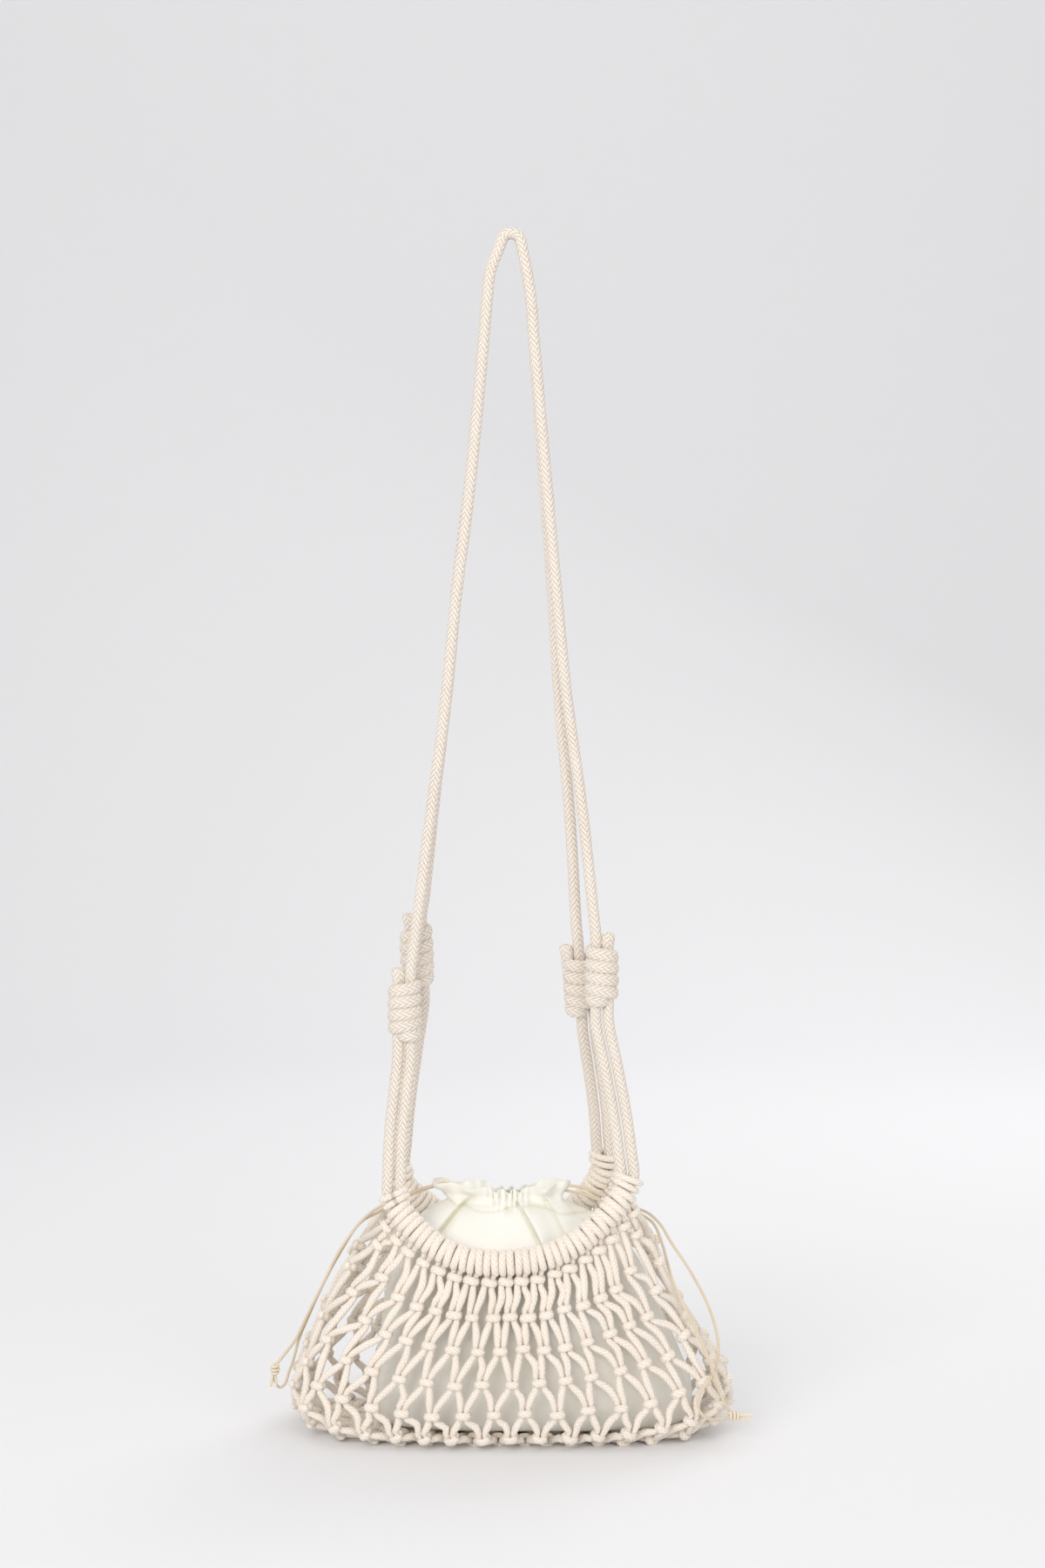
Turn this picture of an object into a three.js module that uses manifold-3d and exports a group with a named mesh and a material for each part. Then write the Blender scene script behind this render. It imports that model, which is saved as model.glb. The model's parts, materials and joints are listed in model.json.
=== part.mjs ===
// String shopping bag: a knotted cord net hung from two rims, a shoulder strap of two ropes
// with four barrel knots, and a cloth drawstring pouch inside the net.
// Millimetres, +Z up, +X to the bag's right and +Y to its back. The origin is the underside
// of the strap's bend, where a hook or a hand holds the bag up. Heights in this file are
// above the ground that the net touches, and the last group moves all of them to the origin.
import * as THREE from 'three';
import Module from 'manifold-3d';
import { mergeVertices } from 'three/addons/utils/BufferGeometryUtils.js';

const wasm = await Module();
wasm.setup();

// Sizes of the ropes and the strap
const strapHeight = 893.8; // underside of the strap's bend above the ground
const ropeDiameter = 8.5;
const bendRadius = 7.6; // of a rope's centre line over the bend
const fit = 0.3; // gap between pieces that touch

// Sizes of the barrel knots
const knotDiameter = 25;
const knotLength = 52;
const knotTurns = 5;
const stubLength = 9; // of the rope's end that stands out of the top
const knotGroove = 1.5; // depth between two turns

// Sizes of the two rims
const mouthLength = 170; // between the two ends of a rim
const mouthEndDepth = 90; // between the rims at their ends
const mouthMiddleDepth = 124;
const rimHeight = 141; // lowest point of a rim's centre line
const rimRise = 43.7; // ends above the lowest point
const rimTilt = 6; // right end up and left end down by this much
const rimThickness = 17; // over the wraps
const wrapGroove = 1.5; // depth between two pairs of turns
const wrapPairs = 18;
const legLength = 133; // from a rim's ends up to the knots, on average
const backRightReach = 0.84; // the back rim's right end stands in, as a share of half the mouth

// Sizes of the net
const netLength = 330;
const netDepth = 145;
const sideHeight = 152; // top edge between the rims
const sideReach = 212; // between the middles of the two side edges
const sideShift = -5; // the middle between the two side edges, from the strap's bend
const netCordDiameter = 5;
const strandWidth = 7; // of a strand of the open net
const netKnotWidth = 13;
const netKnotThickness = 7.4;
const netColumns = 18;
const netRows = 7;
const seamWidth = 5;

// Sizes of the pouch
const pouchLength = 243;
const pouchDepth = 118;
const pouchHeight = 181; // of its gathered neck
const pouchWall = 1.5;
const pouchGround = 8.6; // underside of the pouch, on the net's base knots
const pouchPleats = 20; // gathers round the neck

// Sizes of the drawstrings
const stringDiameter = 2.2;
const stringKnotDiameter = 7;
const stringKnotLength = 9;
const stringTipLength = 9;

// Shades from the real bag
const shades = {
  rope: { color: 0xefe4d2, roughness: 0.93, metalness: 0 },
  net: { color: 0xf1e8da, roughness: 0.94, metalness: 0 },
  cloth: { color: 0xf4f2e6, roughness: 0.62, metalness: 0 },
  string: { color: 0xece0cb, roughness: 0.85, metalness: 0 },
};

const ropeRadius = ropeDiameter / 2;
const ropePitch = ropeDiameter + fit; // between the centre lines of two ropes side by side
const netRadius = netCordDiameter / 2;
// Height of the base cords' centre lines, so that their knots touch the ground
const baseHeight = netKnotThickness / 2;
const tau = 2 * Math.PI;

function vec(x, y, z) {
  return new THREE.Vector3(x, y, z);
}

function mix(a, b, share) {
  return a + (b - a) * share;
}

// A path that gives its own stations in place of evenly spaced points
class StationPath extends THREE.Curve {
  constructor(stations) {
    super();
    this.stations = stations;
    this.last = stations.length - 1;
  }

  getPointAt(share, target = new THREE.Vector3()) {
    return target.copy(this.stations[Math.round(share * this.last)]);
  }

  getTangentAt(share, target = new THREE.Vector3()) {
    const at = Math.round(share * this.last);
    const before = this.stations[Math.max(at - 1, 0)];
    const after = this.stations[Math.min(at + 1, this.last)];
    return target.subVectors(after, before).normalize();
  }
}

function tube(stations, diameter, sides) {
  const section = new THREE.Shape();
  for (let side = 0; side < sides; side += 1) {
    const angle = (side / sides) * tau;
    const x = (diameter / 2) * Math.cos(angle);
    const y = (diameter / 2) * Math.sin(angle);
    if (side === 0) {
      section.moveTo(x, y);
    } else {
      section.lineTo(x, y);
    }
  }
  section.closePath();
  return new THREE.ExtrudeGeometry(section, {
    steps: stations.length - 1,
    extrudePath: new StationPath(stations),
    bevelEnabled: false,
  });
}

function fromTriangles(points, triangles) {
  const geometry = new THREE.BufferGeometry();
  const numbers = points.flatMap((point) => point.toArray());
  geometry.setAttribute('position', new THREE.Float32BufferAttribute(numbers, 3));
  geometry.setIndex(triangles.flat());
  geometry.computeVertexNormals();
  return geometry;
}

// A closed skin over rings of points: the last ring joins the first one
function loftAround(rings) {
  const count = rings[0].length;
  const triangles = [];
  for (let ring = 0; ring < rings.length; ring += 1) {
    const next = (ring + 1) % rings.length;
    for (let i = 0; i < count; i += 1) {
      const j = (i + 1) % count;
      triangles.push([ring * count + i, ring * count + j, next * count + j]);
      triangles.push([ring * count + i, next * count + j, next * count + i]);
    }
  }
  return fromTriangles(rings.flat(), triangles);
}

// Joining and cutting
function toSolid(geometry) {
  const bare = geometry.clone();
  bare.deleteAttribute('normal');
  bare.deleteAttribute('uv');
  const merged = mergeVertices(bare, 1e-4);
  return new wasm.Manifold(new wasm.Mesh({
    numProp: 3,
    vertProperties: Float32Array.from(merged.attributes.position.array),
    triVerts: Uint32Array.from(merged.index.array),
  }));
}

function toGeometry(solid) {
  const mesh = solid.getMesh();
  const geometry = new THREE.BufferGeometry();
  geometry.setAttribute('position', new THREE.BufferAttribute(Float32Array.from(mesh.vertProperties), 3));
  geometry.setIndex(new THREE.BufferAttribute(Uint32Array.from(mesh.triVerts), 1));
  geometry.computeVertexNormals();
  return geometry;
}

// Rims. side is -1 for the left end and 1 for the right end, face is -1 for front, 1 for back.
const rimPower = 2.6; // how late the rim turns up towards its ends

function rimPoint(face, along) {
  const ends = along * along;
  const reach = face > 0 && along > 0 ? mix(1, backRightReach, ends) : 1;
  const x = (along * reach * mouthLength) / 2;
  const y = (face * mix(mouthMiddleDepth, mouthEndDepth, ends)) / 2;
  const z = rimHeight + rimRise * Math.abs(along) ** rimPower + rimTilt * along;
  return vec(x, y, z);
}

function rimOutward(face, side) {
  const step = 0.02;
  return rimPoint(face, side).sub(rimPoint(face, side * (1 - step))).normalize();
}

// Barrel knots: across and depth as shares of the mouth, up as a share of the leg length,
// lean as how far the top stands from the bottom, as shares of the knot's length, and aside as
// how far the strap rope lies from the knot's axis, as a share of the space between two ropes
const knots = [
  { name: 'front_left', face: -1, side: -1, across: 0.94, depth: 0.33, up: 0.851 },
  { name: 'back_left', face: 1, side: -1, across: 0.832, depth: 0.31, up: 1.139 },
  { name: 'front_right', face: -1, side: 1, across: 0.797, depth: 0.34, up: 1.05 },
  { name: 'back_right', face: 1, side: 1, across: 0.628, depth: 0.31, up: 0.964 },
];
const knotSeats = {
  front_left: { lean: [0, 0.04], stub: 1, aside: 0.5 },
  back_left: { lean: [-0.03, -0.08], stub: 1, aside: 0.5 },
  front_right: { lean: [0, 0.04], stub: 1, aside: 0.5 },
  back_right: { lean: [-0.05, -0.08], stub: -1, aside: 0 },
};
const upright = vec(0, 0, 1);

for (const knot of knots) {
  const seat = knotSeats[knot.name];
  knot.stub = seat.stub;
  knot.aside = seat.aside;
  knot.bottom = vec(
    (knot.side * knot.across * mouthLength) / 2,
    (knot.face * knot.depth * mouthEndDepth) / 2,
    rimHeight + rimRise + knot.up * legLength,
  );
  knot.axis = vec(...seat.lean, 1).normalize();
  knot.turn = new THREE.Quaternion().setFromUnitVectors(upright, knot.axis);
  const inwards = vec(-knot.side * knot.aside * ropePitch, 0, 0).applyQuaternion(knot.turn);
  knot.ropeBottom = knot.bottom.clone().add(inwards);
  knot.ropeTop = knot.ropeBottom.clone().addScaledVector(knot.axis, knotLength);
}

function knotAt(face, side) {
  return knots.find((knot) => knot.face === face && knot.side === side);
}

// A wound sleeve: one rounded rib for each turn and a hole for the rope
const stubLean = 0.15; // outwards, as a share of the stub's length

function barrelKnot(knot) {
  const sides = 10;
  const hole = (ropeRadius + fit) / Math.cos(Math.PI / sides);
  const crest = knotDiameter / 2;
  const valley = crest - knotGroove;
  const pitch = knotLength / knotTurns;
  const ropeAt = -knot.aside * ropePitch;
  const profile = [new THREE.Vector2(0, 0), new THREE.Vector2(valley, 0)];
  for (let turn = 0; turn < knotTurns; turn += 1) {
    profile.push(new THREE.Vector2(crest, (turn + 0.5) * pitch));
    profile.push(new THREE.Vector2(valley, (turn + 1) * pitch));
  }
  profile.push(new THREE.Vector2(0, knotLength));
  const turned = new THREE.LatheGeometry(profile, sides);
  turned.rotateX(Math.PI / 2);
  const stubAt = ropeAt + ropePitch;
  const stub = tube(
    [
      vec(stubAt, 0, knotLength - ropeRadius),
      vec(stubAt, 0, knotLength),
      vec(stubAt + stubLean * stubLength, 0, knotLength + stubLength),
    ],
    ropeDiameter,
    8,
  );
  const channel = tube([vec(ropeAt, 0, -fit), vec(ropeAt, 0, knotLength + fit)], 2 * hole, sides);
  const geometry = toGeometry(toSolid(turned).subtract(toSolid(channel)).add(toSolid(stub)));
  const turn = knot.side * knot.stub > 0 ? 0 : Math.PI;
  geometry.rotateZ(turn);
  return geometry;
}

// Legs: the strap rope's leg and the rim rope's leg run side by side from a knot to a rim's end.
// bow is how far the pair stands out sideways, as a share of the leg length.
const legRows = [
  { down: 0.3, turned: 0.15, bow: 0.008 },
  { down: 0.6, turned: 0.45, bow: 0.014 },
  { down: 0.85, turned: 0.8, bow: 0.008 },
];
const legSlack = 1.08; // the two ropes lie a little looser between their ends
const knotLead = 1.4; // straight length under a knot, in rope diameters
const rimLead = 0.8; // straight length past a rim's end, in rope diameters

// The point beside a rope's centre line where a second rope lies, square to the directions
function beside(point, towards, ...directions) {
  const along = directions.reduce((sum, direction) => sum.add(direction), vec(0, 0, 0)).normalize();
  const apart = towards.clone().addScaledVector(along, -towards.dot(along)).normalize();
  return point.clone().addScaledVector(apart, ropePitch * legSlack);
}

function legRoutes(face, side) {
  const knot = knotAt(face, side);
  const end = rimPoint(face, side);
  const out = rimOutward(face, side);
  const lead = ropeDiameter * knotLead;
  const turn = ropeDiameter * rimLead;
  const outside = vec(side, 0, 0);
  const inward = outside.clone().negate().addScaledVector(out, outside.dot(out)).normalize();
  const strapEnd = end.clone().addScaledVector(inward, ropePitch);
  const strapTurn = strapEnd.clone().addScaledVector(out, turn);
  const start = knot.ropeBottom.clone().addScaledVector(knot.axis, -lead);
  const straight = start.clone().sub(strapTurn).normalize();
  const strapLeg = [start];
  const rimLeg = [
    beside(knot.ropeBottom.clone().addScaledVector(knot.axis, -fit), outside, knot.axis),
    beside(start, outside, knot.axis, straight),
  ];
  for (const row of legRows) {
    const centre = start.clone().lerp(strapTurn, row.down);
    centre.x += side * row.bow * legLength;
    strapLeg.push(centre);
    rimLeg.push(beside(centre, outside.clone().lerp(inward.clone().negate(), row.turned), straight));
  }
  strapLeg.push(strapTurn, strapEnd.clone().addScaledVector(out, fit));
  rimLeg.push(beside(strapTurn, inward.clone().negate(), straight, out));
  return { strapLeg, rimLeg };
}

// The strap's strands from the knots' tops to the bend. up is the share of the height, left and
// right the share of the spread at the knots, apart the share of a back rope's own offset.
const strandRows = [
  { up: 0.03, left: 0.97, right: 0.975, apart: 1.0 },
  { up: 0.18, left: 0.83, right: 0.84, apart: 0.7 },
  { up: 0.36, left: 0.655, right: 0.64, apart: 0.38 },
  { up: 0.5, left: 0.55, right: 0.53, apart: 0.2 },
  { up: 0.65, left: 0.412, right: 0.417, apart: 0.1 },
  { up: 0.85, left: 0.27, right: 0.27, apart: 0.0 },
  { up: 0.913, left: 0.232, right: 0.229, apart: 0.0 },
  { up: 0.95, left: 0.197, right: 0.178, apart: 0.0 },
];

function strand(face, side) {
  const own = knotAt(face, side).ropeTop;
  const leading = knotAt(-1, side).ropeTop;
  const bendTop = strapHeight + ropeRadius;
  return strandRows.map((row) => {
    const share = side < 0 ? row.left : row.right;
    const x = share * leading.x + row.apart * (own.x - leading.x);
    const y = mix(own.y, (face * ropePitch) / 2, Math.sqrt(row.up));
    return vec(x, y, mix(own.z, bendTop, row.up));
  });
}

function bend(face) {
  const centre = vec(0, (face * ropePitch) / 2, strapHeight + ropeRadius - bendRadius);
  const steps = 6;
  const points = [];
  for (let step = 0; step <= steps; step += 1) {
    const angle = Math.PI * (1 - step / steps);
    points.push(centre.clone().add(vec(bendRadius * Math.cos(angle), 0, bendRadius * Math.sin(angle))));
  }
  return points;
}

// One whole strap rope: leg, knot, strand, bend, strand, knot, leg
function strapRope(face) {
  const half = (side) => {
    const knot = knotAt(face, side);
    const { strapLeg } = legRoutes(face, side);
    return [...strapLeg.reverse(), knot.ropeBottom, knot.ropeTop, ...strand(face, side)];
  };
  return tube([...half(-1), ...bend(face), ...half(1).reverse()], ropeDiameter, 8);
}

// One whole rim rope: leg, rim, leg. Its ends are wound as the barrel knots.
const rimSteps = 14;

function rimStations(face, steps) {
  const stations = [];
  for (let step = 0; step <= steps; step += 1) {
    stations.push(rimPoint(face, -1 + (2 * step) / steps));
  }
  return stations;
}

function rimRope(face) {
  const left = legRoutes(face, -1).rimLeg;
  const right = legRoutes(face, 1).rimLeg.reverse();
  return tube([...left, ...rimStations(face, rimSteps), ...right], ropeDiameter, 8);
}

// The wraps on a rim, as one ribbed sleeve with a rib for each pair of turns
function rimWraps(face) {
  const sides = 8;
  const stations = rimStations(face, wrapPairs * 2);
  const frames = new StationPath(stations).computeFrenetFrames(stations.length - 1, false);
  const hole = (ropeRadius + fit) / Math.cos(Math.PI / sides) + fit;
  const crest = rimThickness / 2;
  const valley = crest - wrapGroove;
  const ringAt = (at, radius) => {
    const ring = [];
    for (let side = 0; side < sides; side += 1) {
      const angle = (side / sides) * tau;
      ring.push(stations[at].clone()
        .addScaledVector(frames.normals[at], radius * Math.cos(angle))
        .addScaledVector(frames.binormals[at], radius * Math.sin(angle)));
    }
    return ring;
  };
  const outer = stations.map((_, at) => ringAt(at, at % 2 === 0 ? valley : crest));
  const inner = [];
  for (let at = stations.length - 1; at >= 0; at -= 2) {
    inner.push(ringAt(at, hole));
  }
  return outward(loftAround([...outer, ...inner]));
}

// Turns a skin inside out where its faces point in
function outward(geometry) {
  const position = geometry.attributes.position;
  const index = geometry.index.array;
  const corner = (i) => new THREE.Vector3().fromBufferAttribute(position, index[i]);
  let volume = 0;
  for (let i = 0; i < index.length; i += 3) {
    volume += corner(i).dot(corner(i + 1).cross(corner(i + 2)));
  }
  if (volume < 0) {
    for (let i = 0; i < index.length; i += 3) {
      [index[i + 1], index[i + 2]] = [index[i + 2], index[i + 1]];
    }
    geometry.computeVertexNormals();
  }
  return geometry;
}

// A point of a squared oval, at a share of the way round from its right end
const ovalSteps = 48;

function ovalPoint(halfLength, halfDepth, square, round) {
  const quarter = [];
  let length = 0;
  for (let step = 0; step <= ovalSteps; step += 1) {
    const angle = (step / ovalSteps) * (Math.PI / 2);
    const x = halfLength * Math.cos(angle) ** (2 / square);
    const y = halfDepth * Math.sin(angle) ** (2 / square);
    if (step > 0) length += Math.hypot(x - quarter[step - 1].x, y - quarter[step - 1].y);
    quarter.push({ x, y, length });
  }
  const turn = ((round % 1) + 1) % 1;
  const near = turn < 0.5 ? turn : 1 - turn;
  const share = (near < 0.25 ? near : 0.5 - near) * 4 * length;
  let at = 1;
  while (at < ovalSteps && quarter[at].length < share) at += 1;
  const from = quarter[at - 1];
  const to = quarter[at];
  const part = (share - from.length) / Math.max(to.length - from.length, 1e-9);
  const x = mix(from.x, to.x, part) * (near < 0.25 ? 1 : -1);
  const y = mix(from.y, to.y, part) * (turn < 0.5 ? 1 : -1);
  return { x, y };
}

// The net's top edge: under each rim, and sagging between the rims at both sides
const sideShare = 1 / 18; // of the way round, from a side's middle to a rim's end

function topEdge(round) {
  const turn = ((round % 1) + 1) % 1;
  const face = turn < 0.5 ? 1 : -1;
  const near = turn < 0.5 ? turn : 1 - turn;
  const side = near < 0.25 ? 1 : -1;
  const away = near < 0.25 ? near : 0.5 - near;
  if (away >= sideShare) {
    return underRim(face, side * (1 - (away - sideShare) / (0.25 - sideShare)));
  }
  const angle = (away / sideShare) * (Math.PI / 2);
  const end = underRim(face, side);
  const x = mix(sideShift + side * sideReach * 0.5, end.x, 1 - Math.cos(angle));
  const z = mix(sideHeight + rimTilt * side * 0.5, end.z, 1 - Math.cos(angle));
  return vec(x, end.y * Math.sin(angle), z);
}

// Where the net hangs from a rim: below the wraps, square to the rim's own direction
const rimSag = 0.4; // a straight piece of top edge rises this much towards the curved wraps

function underRim(face, along) {
  const step = 0.01;
  const direction = rimPoint(face, along + step).sub(rimPoint(face, along - step)).normalize();
  const hanging = vec(0, 0, -1).addScaledVector(direction, direction.z).normalize();
  return rimPoint(face, along).addScaledVector(hanging, rimThickness / 2 + fit + rimSag);
}

// Sections of the net below its top edge: height as a share of the top edge's height over the
// ground, length and depth as shares of the net's, shift as the middle's place across, as a
// share of the length, and square from 2, an oval, to 4, nearly a box
const netSections = [
  { height: 0.86, length: 0.69, depth: 0.885, shift: -0.02, square: 2.5 },
  { height: 0.72, length: 0.745, depth: 0.92, shift: -0.021, square: 2.6 },
  { height: 0.54, length: 0.83, depth: 0.955, shift: -0.024, square: 2.8 },
  { height: 0.37, length: 0.92, depth: 0.985, shift: -0.011, square: 3.0 },
  { height: 0.2, length: 1.0, depth: 1.0, shift: 0.001, square: 3.2 },
  { height: 0.1, length: 0.985, depth: 0.99, shift: 0.0, square: 3.3 },
  { height: 0.03, length: 0.9, depth: 0.94, shift: 0.0, square: 3.3 },
  { height: 0.0, length: 0.78, depth: 0.76, shift: 0.0, square: 3.3 },
  { height: 0.0, length: 0.68, depth: 0.4, shift: 0.0, square: 3.2 },
];

const seamShare = 0.6; // length of the base's seam, as a share of the net's

function netColumn(round) {
  const edge = topEdge(round);
  const points = [edge];
  for (const row of netSections) {
    const oval = ovalPoint((row.length * netLength) / 2, (row.depth * netDepth) / 2, row.square, round);
    points.push(vec(oval.x + row.shift * netLength, oval.y, mix(baseHeight, edge.z, row.height)));
  }
  const seam = ovalPoint((seamShare * netLength) / 2, seamWidth / 2, 4, round);
  points.push(vec(seam.x, seam.y, baseHeight));
  return new THREE.CatmullRomCurve3(points, false, 'centripetal');
}

const columnCache = new Map();

function netPoint(round, down) {
  const turn = ((round % 1) + 1) % 1;
  const key = turn.toFixed(6);
  if (!columnCache.has(key)) columnCache.set(key, netColumn(turn));
  return columnCache.get(key).getPointAt(Math.min(Math.max(down, 0), 1));
}

function netNormal(round, down) {
  const step = 0.012;
  const along = netPoint(round + step, down).sub(netPoint(round - step, down));
  const lower = Math.min(down + step, 1);
  const upper = Math.max(down - step, 0);
  const drop = netPoint(round, lower).sub(netPoint(round, upper));
  const normal = drop.cross(along).normalize();
  if (down > 0.985) return vec(0, 0, -1);
  return normal;
}

// The open net: knots in staggered rows, and in each diamond between four knots a gap with
// six corners. Strands have a ridge on their centre line, and stand thicker at the knots.
const leastGap = 0.18; // half width of the narrowest gap, as a share of the space between knots
const gapHeight = 0.92; // as a share of the room that the strands leave
const flatCorner = 0.32; // half width of a gap's flat top, as a share of half a knot
const gapEdge = 0.45; // half thickness at a gap's edge, as a share of the cord's radius

function net() {
  const points = [];
  const triangles = [];
  const place = (centre, normal, offset) => {
    points.push(centre.clone().addScaledVector(normal, offset));
    return points.length - 1;
  };
  const knotRing = [];
  for (let row = 0; row <= netRows; row += 1) {
    const ring = [];
    const down = row / netRows;
    const flat = row === 0 || row === netRows;
    const bulge = flat ? netRadius : netKnotThickness / 2;
    for (let column = 0; column < netColumns; column += 1) {
      const round = (column + (row % 2) / 2) / netColumns;
      const centre = netPoint(round, down);
      const normal = netNormal(round, down);
      ring.push({
        centre,
        normal,
        outer: place(centre, normal, bulge),
        inner: place(centre, normal, -bulge),
      });
    }
    knotRing.push(ring);
  }
  const knot = (row, column) => knotRing[row][(column + netColumns) % netColumns];
  const skin = (a, b, c, side) => triangles.push(side === 'outer' ? [a, b, c] : [a, c, b]);

  for (let row = 1; row < netRows; row += 1) {
    for (let column = 0; column < netColumns; column += 1) {
      const odd = row % 2;
      const left = knot(row, column);
      const right = knot(row, column + 1);
      const top = knot(row - 1, column + (odd ? 1 : 0));
      const bottom = knot(row + 1, column + (odd ? 1 : 0));
      const corners = [left, right, top, bottom];
      const middle = corners.reduce((sum, at) => sum.addScaledVector(at.centre, 0.25), vec(0, 0, 0));
      const normal = corners.reduce((sum, at) => sum.add(at.normal), vec(0, 0, 0)).normalize();
      const across = right.centre.clone().sub(left.centre);
      const drop = bottom.centre.clone().sub(top.centre);
      const width = across.length();
      const height = drop.length();
      const slope = Math.hypot(width, height) / height;
      const halfStrand = strandWidth / 2;
      const halfKnot = netKnotWidth / 2;
      const halfWidth = Math.max(width / 2 - halfStrand * slope, width * leastGap);
      const reach = Math.max(halfWidth - (halfKnot - halfStrand) / 2, halfWidth / 2);
      const halfFlat = Math.min(halfKnot * flatCorner, reach / 2);
      const rise = (height / 2) * (1 - (strandWidth * slope) / width) * gapHeight;
      const corner = (x, z) => middle.clone()
        .addScaledVector(across, x / width)
        .addScaledVector(drop, z / height);
      const gap = [
        corner(-reach, 0),
        corner(-halfFlat, -rise),
        corner(halfFlat, -rise),
        corner(reach, 0),
        corner(halfFlat, rise),
        corner(-halfFlat, rise),
      ];
      const lip = netRadius * gapEdge;
      const outerGap = gap.map((point) => place(point, normal, lip));
      const innerGap = gap.map((point) => place(point, normal, -lip));
      for (const side of ['outer', 'inner']) {
        const rim = side === 'outer' ? outerGap : innerGap;
        const [l, r, t, b] = [left[side], right[side], top[side], bottom[side]];
        skin(l, rim[0], rim[1], side);
        skin(l, rim[1], t, side);
        skin(t, rim[1], rim[2], side);
        skin(t, rim[2], r, side);
        skin(r, rim[2], rim[3], side);
        skin(r, rim[3], rim[4], side);
        skin(r, rim[4], b, side);
        skin(b, rim[4], rim[5], side);
        skin(b, rim[5], l, side);
        skin(l, rim[5], rim[0], side);
      }
      for (let i = 0; i < gap.length; i += 1) {
        const j = (i + 1) % gap.length;
        triangles.push([outerGap[j], outerGap[i], innerGap[i]]);
        triangles.push([outerGap[j], innerGap[i], innerGap[j]]);
      }
    }
  }

  // Top band under the rims, with a point halfway between neighbouring knots
  for (let column = 0; column < netColumns; column += 1) {
    const here = knot(0, column);
    const next = knot(0, column + 1);
    const under = knot(1, column);
    const round = (column + 0.5) / netColumns;
    const centre = netPoint(round, 0);
    const normal = netNormal(round, 0);
    const half = { outer: place(centre, normal, netRadius), inner: place(centre, normal, -netRadius) };
    for (const side of ['outer', 'inner']) {
      skin(here[side], under[side], half[side], side);
      skin(half[side], under[side], next[side], side);
    }
    triangles.push([here.outer, half.outer, half.inner], [here.outer, half.inner, here.inner]);
    triangles.push([half.outer, next.outer, next.inner], [half.outer, next.inner, half.inner]);
  }

  // Bottom band and the seam that closes the base
  const odd = netRows % 2;
  for (let column = 0; column < netColumns; column += 1) {
    const here = knot(netRows, column);
    const next = knot(netRows, column + 1);
    const above = knot(netRows - 1, column + (odd ? 1 : 0));
    for (const side of ['outer', 'inner']) skin(here[side], next[side], above[side], side);
  }
  for (let column = 0; column < netColumns / 2 - 1; column += 1) {
    const back = [knot(netRows, column), knot(netRows, column + 1)];
    const front = [knot(netRows, netColumns - 1 - column), knot(netRows, netColumns - 2 - column)];
    for (const side of ['outer', 'inner']) {
      skin(back[0][side], front[1][side], back[1][side], side);
      skin(back[0][side], front[0][side], front[1][side], side);
    }
  }
  return outward(fromTriangles(points, triangles));
}

// Sections of the pouch from its neck down: height as a share of the neck's height, length and
// depth as shares of the pouch's, shift as the middle's place across, square as for the net,
// pleat as the depth of the gathers, as a share of the section's own depth, lift as how far
// the neck's ends stand up, and inside where the inner wall needs the section too
const pouchSections = [
  { height: 1.04, length: 0.385, depth: 0.24, shift: -0.02, square: 2, pleat: 0.17, lift: 0.03, inside: true },
  { height: 1.0, length: 0.36, depth: 0.16, shift: -0.02, square: 2, pleat: 0.24, lift: 0.015, inside: true },
  { height: 0.955, length: 0.4, depth: 0.25, shift: -0.02, square: 2, pleat: 0.15, lift: 0, inside: true },
  { height: 0.9, length: 0.53, depth: 0.48, shift: -0.01, square: 2.1, pleat: 0.06, lift: 0, inside: true },
  { height: 0.82, length: 0.66, depth: 0.74, shift: 0.005, square: 2.3, pleat: 0.03, lift: 0, inside: true },
  { height: 0.68, length: 0.775, depth: 0.93, shift: 0.018, square: 2.7, pleat: 0.012, lift: 0, inside: true },
  { height: 0.5, length: 0.865, depth: 0.985, shift: 0.03, square: 3.0, pleat: 0, lift: 0, inside: true },
  { height: 0.32, length: 0.945, depth: 1.0, shift: 0.048, square: 3.2, pleat: 0, lift: 0, inside: false },
  { height: 0.16, length: 1.0, depth: 0.975, shift: 0.064, square: 3.2, pleat: 0, lift: 0, inside: true },
  { height: 0.07, length: 0.975, depth: 0.91, shift: 0.066, square: 3.2, pleat: 0, lift: 0, inside: true },
  { height: 0.04, length: 0.86, depth: 0.76, shift: 0.066, square: 3.0, pleat: 0, lift: 0, inside: true },
];
const pouchSides = 2 * pouchPleats;

function pouchRing(row, inset) {
  const ring = [];
  const ground = pouchGround + inset;
  for (let side = 0; side < pouchSides; side += 1) {
    const round = side / pouchSides;
    const halfLength = (row.length * pouchLength) / 2 - inset;
    const halfDepth = (row.depth * pouchDepth) / 2 - inset;
    const oval = ovalPoint(halfLength, halfDepth, row.square, round);
    const gather = 1 + row.pleat * Math.cos(pouchPleats * tau * round);
    const end = oval.x / halfLength;
    const height = (row.height + row.lift * end * end) * pouchHeight;
    const x = oval.x + row.shift * pouchLength;
    ring.push(vec(x, oval.y * gather, Math.max(height, ground)));
  }
  return ring;
}

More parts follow.
